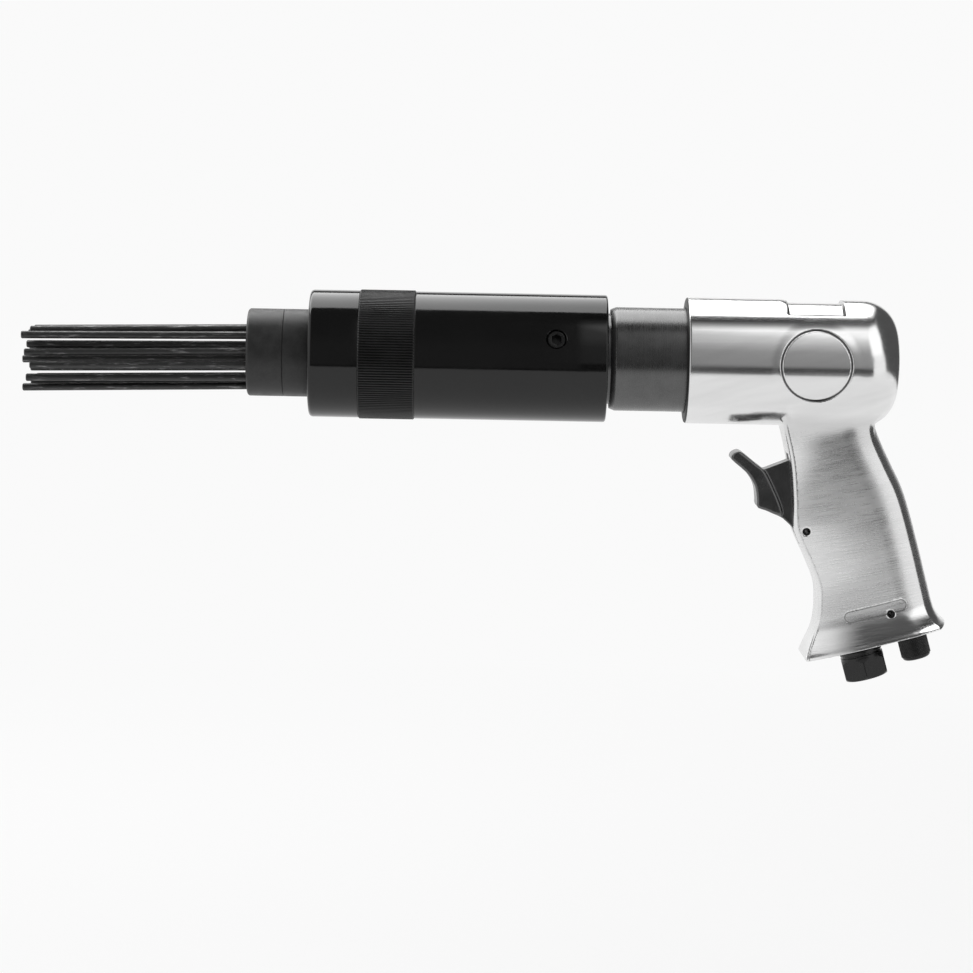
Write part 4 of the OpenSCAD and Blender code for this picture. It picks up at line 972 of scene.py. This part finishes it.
def build_inlet():
    """Hexagon bushing with a grooved neck and a threaded hole."""
    neck_top = -GRIP_LEN - INLET_WASHER
    hex_top = neck_top - INLET_NECK
    end = hex_top - INLET_HEX
    spigot_top = INLET_SPIGOT - GRIP_LEN
    corner = INLET_AF / 2 / cos(pi / 6)

    def distance(p):
        u, y, w = np.moveaxis(p, -1, 0)
        r = np.hypot(u, y)
        flats = hexagon_flats(u, y, INLET_TURN + pi / 6)
        sides = meet(meet(flats[0], flats[1], HEX_EDGE), flats[2], HEX_EDGE) - INLET_AF / 2
        nut = np.maximum(sides, span(w, end, hex_top))
        nut = meet(nut, (r - corner + HEX_LOW_BEVEL - (w - end)) * DIAGONAL, HEX_LOW_EDGE)
        cone = r - INLET_AF / 2 - HEX_TOP_OUT - (hex_top - w) * HEX_TOP_SLOPE
        nut = meet(nut, cone * HEX_TOP_SCALE, HEX_TOP_EDGE)
        neck = rod(r, w, INLET_NECK_R, hex_top - 1, neck_top)
        for place in NECK_GROOVES:
            across = np.abs(w - neck_top + place) - NECK_GROOVE_W / 2
            neck = cut(neck, np.maximum(across, INLET_NECK_R - NECK_GROOVE_DEPTH - r), NECK_GROOVE_EDGE)
        solid = join(join(nut, neck, NECK_FILLET), rod(r, w, INLET_SPIGOT_R, hex_top, spigot_top))
        turn = np.arctan2(y, u) / (2 * pi)
        wave = np.abs(2 * ((w / INLET_PITCH + turn) % 1.0) - 1)
        hole = rod(r + INLET_THREAD_DEPTH * wave, w, INLET_THREAD_R, end - PAST, end + INLET_HOLE)
        lead = np.maximum((r - INLET_THREAD_R - HOLE_LEAD + (w - end)) * DIAGONAL, w - end - HOLE_LEAD_LEN)
        way = rod(r, w, INLET_WAY_R, end, spigot_top + PAST)
        return cut(cut(solid, np.minimum(hole, lead)), way)

    wide = np.arange(-10.3, 10.4, 0.36)
    points, faces = skin(distance, (wide, wide, np.arange(end - 0.7, spigot_top + 0.9, 0.33)))
    axis = np.array([-INLET_FRONT, 0, 0])
    piece("inlet_hexagon", from_grip(points + axis), faces, BLACK_OXIDE, replaces=("inlet_bushing",),
          slot="black_oxide", field=lambda p: distance(in_grip(p) - axis))


def build_washer():
    top, low = -GRIP_LEN, -GRIP_LEN - INLET_WASHER
    corners = [(low, INLET_BORE_R), (low, WASHER_R, WASHER_EDGE),
               (top, WASHER_R, WASHER_EDGE), (top, INLET_BORE_R)]
    points, faces = revolve(rounded_profile(corners), 96)
    w, a, b = points.T
    piece("inlet_seal", from_grip(np.stack([a - INLET_FRONT, b, w], 1)), faces, BLACK_OXIDE,
          replaces=("inlet_washer",), slot="black_oxide")


def build_regulator():
    """Knob with a diamond knurl and a rounded end, on its grooved spindle."""
    count = DIAMONDS * DIAMOND_STEPS
    pitch = 2 * pi * REGULATOR_R / DIAMONDS
    angles = np.arange(count) * 2 * pi / count
    plain = np.ones(count)
    low_edge = KNOB_LOW - REGULATOR_LEN
    rings = []
    for w in np.arange(KNOB_TOP, low_edge, -pitch / DIAMOND_STEPS):
        slants = [(angles * DIAMONDS / (2 * pi) + way * w / pitch) % 1 for way in (1, -1)]
        height = np.minimum(*(1 - np.abs(2 * a - 1) for a in slants))
        rings.append((w, REGULATOR_R - DIAMOND_DEPTH * (1 - height)))
    for t in np.linspace(0, pi / 2, 6):
        edge_r = REGULATOR_R - KNOB_STEP - KNOB_EDGE * (1 - cos(t))
        rings.append((low_edge - KNOB_EDGE * sin(t) * KNOB_EDGE_STRETCH, plain * edge_r))
    steps = [(up - REGULATOR_LEN, r) for up, r in KNOB_DIMPLE] + [(SPINDLE_LEN, POINT_R)]
    for top, low, r in zip(SPINDLE_HEIGHTS, SPINDLE_HEIGHTS[1:], SPINDLE_RADII):
        steps += [(top, r), (low, r)]
    steps += [(0, REGULATOR_R - KNOB_NECK), (-KNOB_NECK, REGULATOR_R - KNOB_NECK)]
    rings += [(w, plain * r) for w, r in steps]
    points = [(REGULATOR_BACK + r * cos(a), r * sin(a), w - GRIP_LEN)
              for w, radii in rings for a, r in zip(angles, radii)]
    piece("regulator_knob", from_grip(points), quads_between(len(rings), count), KNOB_BLACK,
          "air_regulator", ("air_regulator",), "black_oxide", 32)


# Springs

def coil(length, mean_r, wire, turns, gap, per_turn=40, around=14):
    """Points and faces of a wire coil along X from zero, with closed ends."""
    closed = wire + gap
    travel = length - wire
    pitch = (travel - 2 * closed) / (turns - 2)
    steps = turns * per_turn
    points = []
    for i in range(steps + 1):
        turn = i / per_turn
        a = 2 * pi * turn
        along = closed + pitch * (turn - 1)
        if turn < 1:
            along = closed * turn
        elif turn > turns - 1:
            along = travel - closed * (turns - turn)
        for j in range(around):
            b = 2 * pi * j / around
            r = mean_r + wire / 2 * cos(b)
            points.append((wire / 2 + along + wire / 2 * sin(b), r * sin(a), -r * cos(a)))
    faces = quads_between(steps + 1, around, closed=False)
    last = steps * around
    faces += [tuple(range(around - 1, -1, -1)), tuple(range(last, last + around))]
    return np.array(points), faces


def build_springs():
    """Return spring behind the cap's wall, and throttle spring behind the stem."""
    points, faces = coil(RETURN_LEN, RETURN_R, RETURN_WIRE, RETURN_TURNS, RETURN_GAP)
    spring = piece("return_coil", points + np.array([CAP_WALL, 0, 0]), faces, BARE_STEEL,
                   replaces=("return_spring",), slot="bare_steel")
    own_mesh(spring)
    points, faces = coil(THROTTLE_LEN, THROTTLE_R, THROTTLE_WIRE, THROTTLE_TURNS, THROTTLE_GAP, 32, 10)
    placed = from_grip(points + np.array([THROTTLE_BORE_END - THROTTLE_LEN, 0, -STEM_DEPTH]))
    spring = piece("throttle_coil", placed, faces, BARE_STEEL, replaces=("throttle_spring",),
                   slot="bare_steel")
    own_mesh(spring)


# Finishes of the solids that stay as they are

def finish_inner_nodes():
    finishes = {
        "cylinder_o_ring": RUBBER, "throttle_o_ring": RUBBER, "regulator_o_ring": RUBBER,
        "anvil_bush": BRONZE, "throttle_bush": BRONZE,
    }
    for name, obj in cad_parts.items():
        if obj.hide_render:
            continue
        obj.data.materials.clear()
        obj.data.materials.append(finishes.get(name, BARE_STEEL))


# Stage, light and camera

def glow_look(name):
    """Look without the usual shader, for surfaces that only glow."""
    look = Look(name)
    look.tree.nodes.remove(look.shader)
    return look


def stage_mesh(name, points, faces, material):
    mesh = bpy.data.meshes.new(name)
    mesh.from_pydata(points, [], faces)
    mesh.materials.append(material)
    obj = add_object(name, mesh)
    return obj


def background_rays(look):
    """One for rays that should see the plain white background."""
    rays = look.node("LightPath").outputs
    seen = look.larger(rays["Is Camera Ray"], rays["Is Glossy Ray"])
    return look.larger(seen, rays["Is Transmission Ray"])


WHITE, WORLD_TONE = 0.955, 0.55
FLOOR_Z, FLOOR_FRONT, FLOOR_SIDE, FLOOR_BACK = -0.27, -0.73, 4.0, 6.0
FLOOR_GLOSSY, FLOOR_TONE, FLOOR_ROUGHNESS = 0.93, 0.86, 0.9
SHADOW_NEAR, SHADOW_FAR, SHADOW_SHARE = 0.35, 0.95, 0.25
TENT_R, TENT_LEFT, TENT_RIGHT = 2.2, -1.6, 1.25
HEAD_FROM, HEAD_TO, LEFT_FROM, LEFT_TO, LEFT_TONE = 0.18, 0.24, -0.68, -1.35, 0.85

# Tone of the tent by degrees round the tool axis: 0 is the front horizon, 90 straight up
SLEEVE_TONES = (
    (-24, 0.03), (-18, 0.03), (-16, 0.16), (18, 0.16), (40, 0.11), (70, 0.08), (92, 0.06),
    (144, 0.06), (156, 0.06), (158, 0.80),
)
HEAD_TONES = (
    (-24, 0.05), (-8, 0.05), (-5, 0.27), (22, 0.31), (34, 0.50), (41, 0.62), (50, 0.64), (60, 0.74),
    (66, 0.55), (73, 0.25), (79, 0.03), (92, 0.03), (156, 0.04), (158, 0.80),
)


def build_floor():
    """White floor that keeps the shadow near the tool and fades into the background further off."""
    look = Look("floor_white")
    look.paint(grey(FLOOR_TONE), FLOOR_ROUGHNESS)
    x, y, _ = look.place()
    plain = look.spread(look.reach(x, y), 1 - SHADOW_SHARE, 1.0, SHADOW_NEAR, SHADOW_FAR)
    glossy = look.node("LightPath").outputs["Is Glossy Ray"]
    glow = look.glow(grey(WHITE), look.spread(glossy, 1.0, FLOOR_GLOSSY, 0.0, 1.0))
    look.blend(look.times(background_rays(look), plain), look.shader.outputs[0], glow)
    side, back, front = FLOOR_SIDE, FLOOR_BACK, FLOOR_FRONT
    corners = [(-side, front, 0), (side, front, 0), (side, back, 0), (-side, back, 0)]
    floor = stage_mesh("floor", corners, [(0, 1, 2, 3)], look.block)
    floor.location = (CAMERA_TARGET.x, 0, FLOOR_Z)


def tone_ramp(look, share, tones, first, last):
    """Grey tone by share of the way from the first angle to the last."""
    ramp = look.node("ValToRGB", {0: share})
    stops = ramp.color_ramp.elements
    while len(stops) < len(tones):
        stops.new(0.5)
    for stop, (angle, tone) in zip(stops, tones):
        stop.position = (angle - first) / (last - first)
        stop.color = grey(tone)
    return ramp.outputs[0]


def build_tent():
    """Studio round the tool, as an arc about its axis: dim in front, with a brighter end by the head."""
    look = glow_look("tent_tones")
    x, y, z = look.place()
    rise = look.work("ARCTAN2", z, look.times(y, -1.0))
    first, last = SLEEVE_TONES[0][0], SLEEVE_TONES[-1][0]
    share = look.spread(rise, 0.0, 1.0, radians(first), radians(last))
    sleeve, head = (tone_ramp(look, share, tones, first, last) for tones in (SLEEVE_TONES, HEAD_TONES))
    tone = look.mix_colour(look.spread(x, 0.0, 1.0, HEAD_FROM, HEAD_TO), sleeve, head)
    tone = look.mix_colour(look.spread(x, 0.0, 1.0, LEFT_FROM, LEFT_TO), tone, grey(LEFT_TONE))
    look.surface(look.glow(tone))
    steps = 72
    points = []
    for i in range(steps + 1):
        a = radians(first + (last - first) * i / steps)
        points += [(end, -TENT_R * cos(a), TENT_R * sin(a)) for end in (TENT_LEFT, TENT_RIGHT)]
    faces = [(2 * i, 2 * i + 1, 2 * i + 3, 2 * i + 2) for i in range(steps)]
    stage_mesh("light_tent", points, faces, look.block).visible_camera = False


def build_card(name, place, facing, width, height, tone, soft):
    """Flat light or dark card that faces a point, with edges that fade over a share of its size."""
    look = glow_look(name + "_tone")
    x, y, _ = look.place()
    masks = [look.spread(look.size(off), 1.0, 0.0, size / 2 * (1 - soft), size / 2)
             for off, size in ((x, width), (y, height))]
    clear = look.node("BsdfTransparent").outputs[0]
    look.blend(look.times(*masks), clear, look.glow(grey(tone)))
    corners = [(sx * width / 2, sy * height / 2, 0) for sx, sy in ((-1, -1), (1, -1), (1, 1), (-1, 1))]
    card = stage_mesh(name, corners, [(0, 1, 2, 3)], look.block)
    card.location = place
    card.rotation_euler = (Vector(facing) - Vector(place)).to_track_quat("Z", "Y").to_euler()
    card.visible_camera = False


def build_light(name, place, target, width, height, radiance):
    """Soft box of a given surface brightness."""
    light = bpy.data.lights.new(name, "AREA")
    light.shape = "RECTANGLE"
    light.size, light.size_y = width, height
    light.energy = radiance * pi * width * height
    obj = add_object(name, light)
    obj.location = place
    obj.rotation_euler = (Vector(target) - Vector(place)).to_track_quat("-Z", "Y").to_euler()
    obj.visible_camera = False


def build_world():
    look = Look("studio", bpy.data.worlds, "Background")
    SCENE.world = look.block
    strength = look.spread(background_rays(look), WORLD_TONE, WHITE, 0.0, 1.0)
    look.fill(look.shader, {"Color": grey(1.0), "Strength": strength})


CAMERA_RANGE, CAMERA_RISE, CAMERA_ROLL = 1.25, radians(5.6), radians(1.10)
CAMERA_TARGET, FRAME_WIDTH, SENSOR = Vector((0.0713, 0.0, -0.0521)), 0.3894, 36.0


def build_camera():
    """Camera at the photograph's angle: square on to the side, a little above, with a slight roll."""
    ahead = Vector((0, cos(CAMERA_RISE), -sin(CAMERA_RISE)))
    right = Vector((1, 0, 0))
    up = right.cross(ahead)
    rolled = right * cos(CAMERA_ROLL) + up * sin(CAMERA_ROLL)
    upright_axis = rolled.cross(ahead)
    data = bpy.data.cameras.new("camera")
    data.sensor_width = SENSOR
    data.lens = SENSOR * CAMERA_RANGE / FRAME_WIDTH
    camera = add_object("camera", data)
    turn = Matrix((rolled, upright_axis, -ahead)).transposed().to_4x4()
    camera.matrix_world = Matrix.Translation(CAMERA_TARGET - ahead * CAMERA_RANGE) @ turn
    SCENE.camera = camera


for build in (build_camera, build_handle, build_nose, build_cap, build_housing, build_screw, build_barrel,
              build_needles, build_trigger, build_pins, build_inlet, build_washer, build_regulator,
              build_springs, finish_inner_nodes, build_world, build_floor, build_tent):
    build()

HEAD_MIDDLE = (0.22, 0.0, 0.0)
build_light("top_box", (-0.46, 0.645, 1.129), (-0.46, 0.0, 0.0), 1.68, 1.28, 3.5)
build_card("top_fade", (0.36, 0.645, 1.12), (0.36, 0.0, 0.0), 0.80, 1.28, 3.0, 0.6)
build_card("side_strip", (0.79, -0.73, 0.836), HEAD_MIDDLE, 0.96, 1.44, 1.25, 0.25)
build_card("side_flag", (1.19, 0.36, 0.48), HEAD_MIDDLE, 2.7, 2.3, 0.08, 0.25)
SCENE.view_settings.view_transform = "Standard"
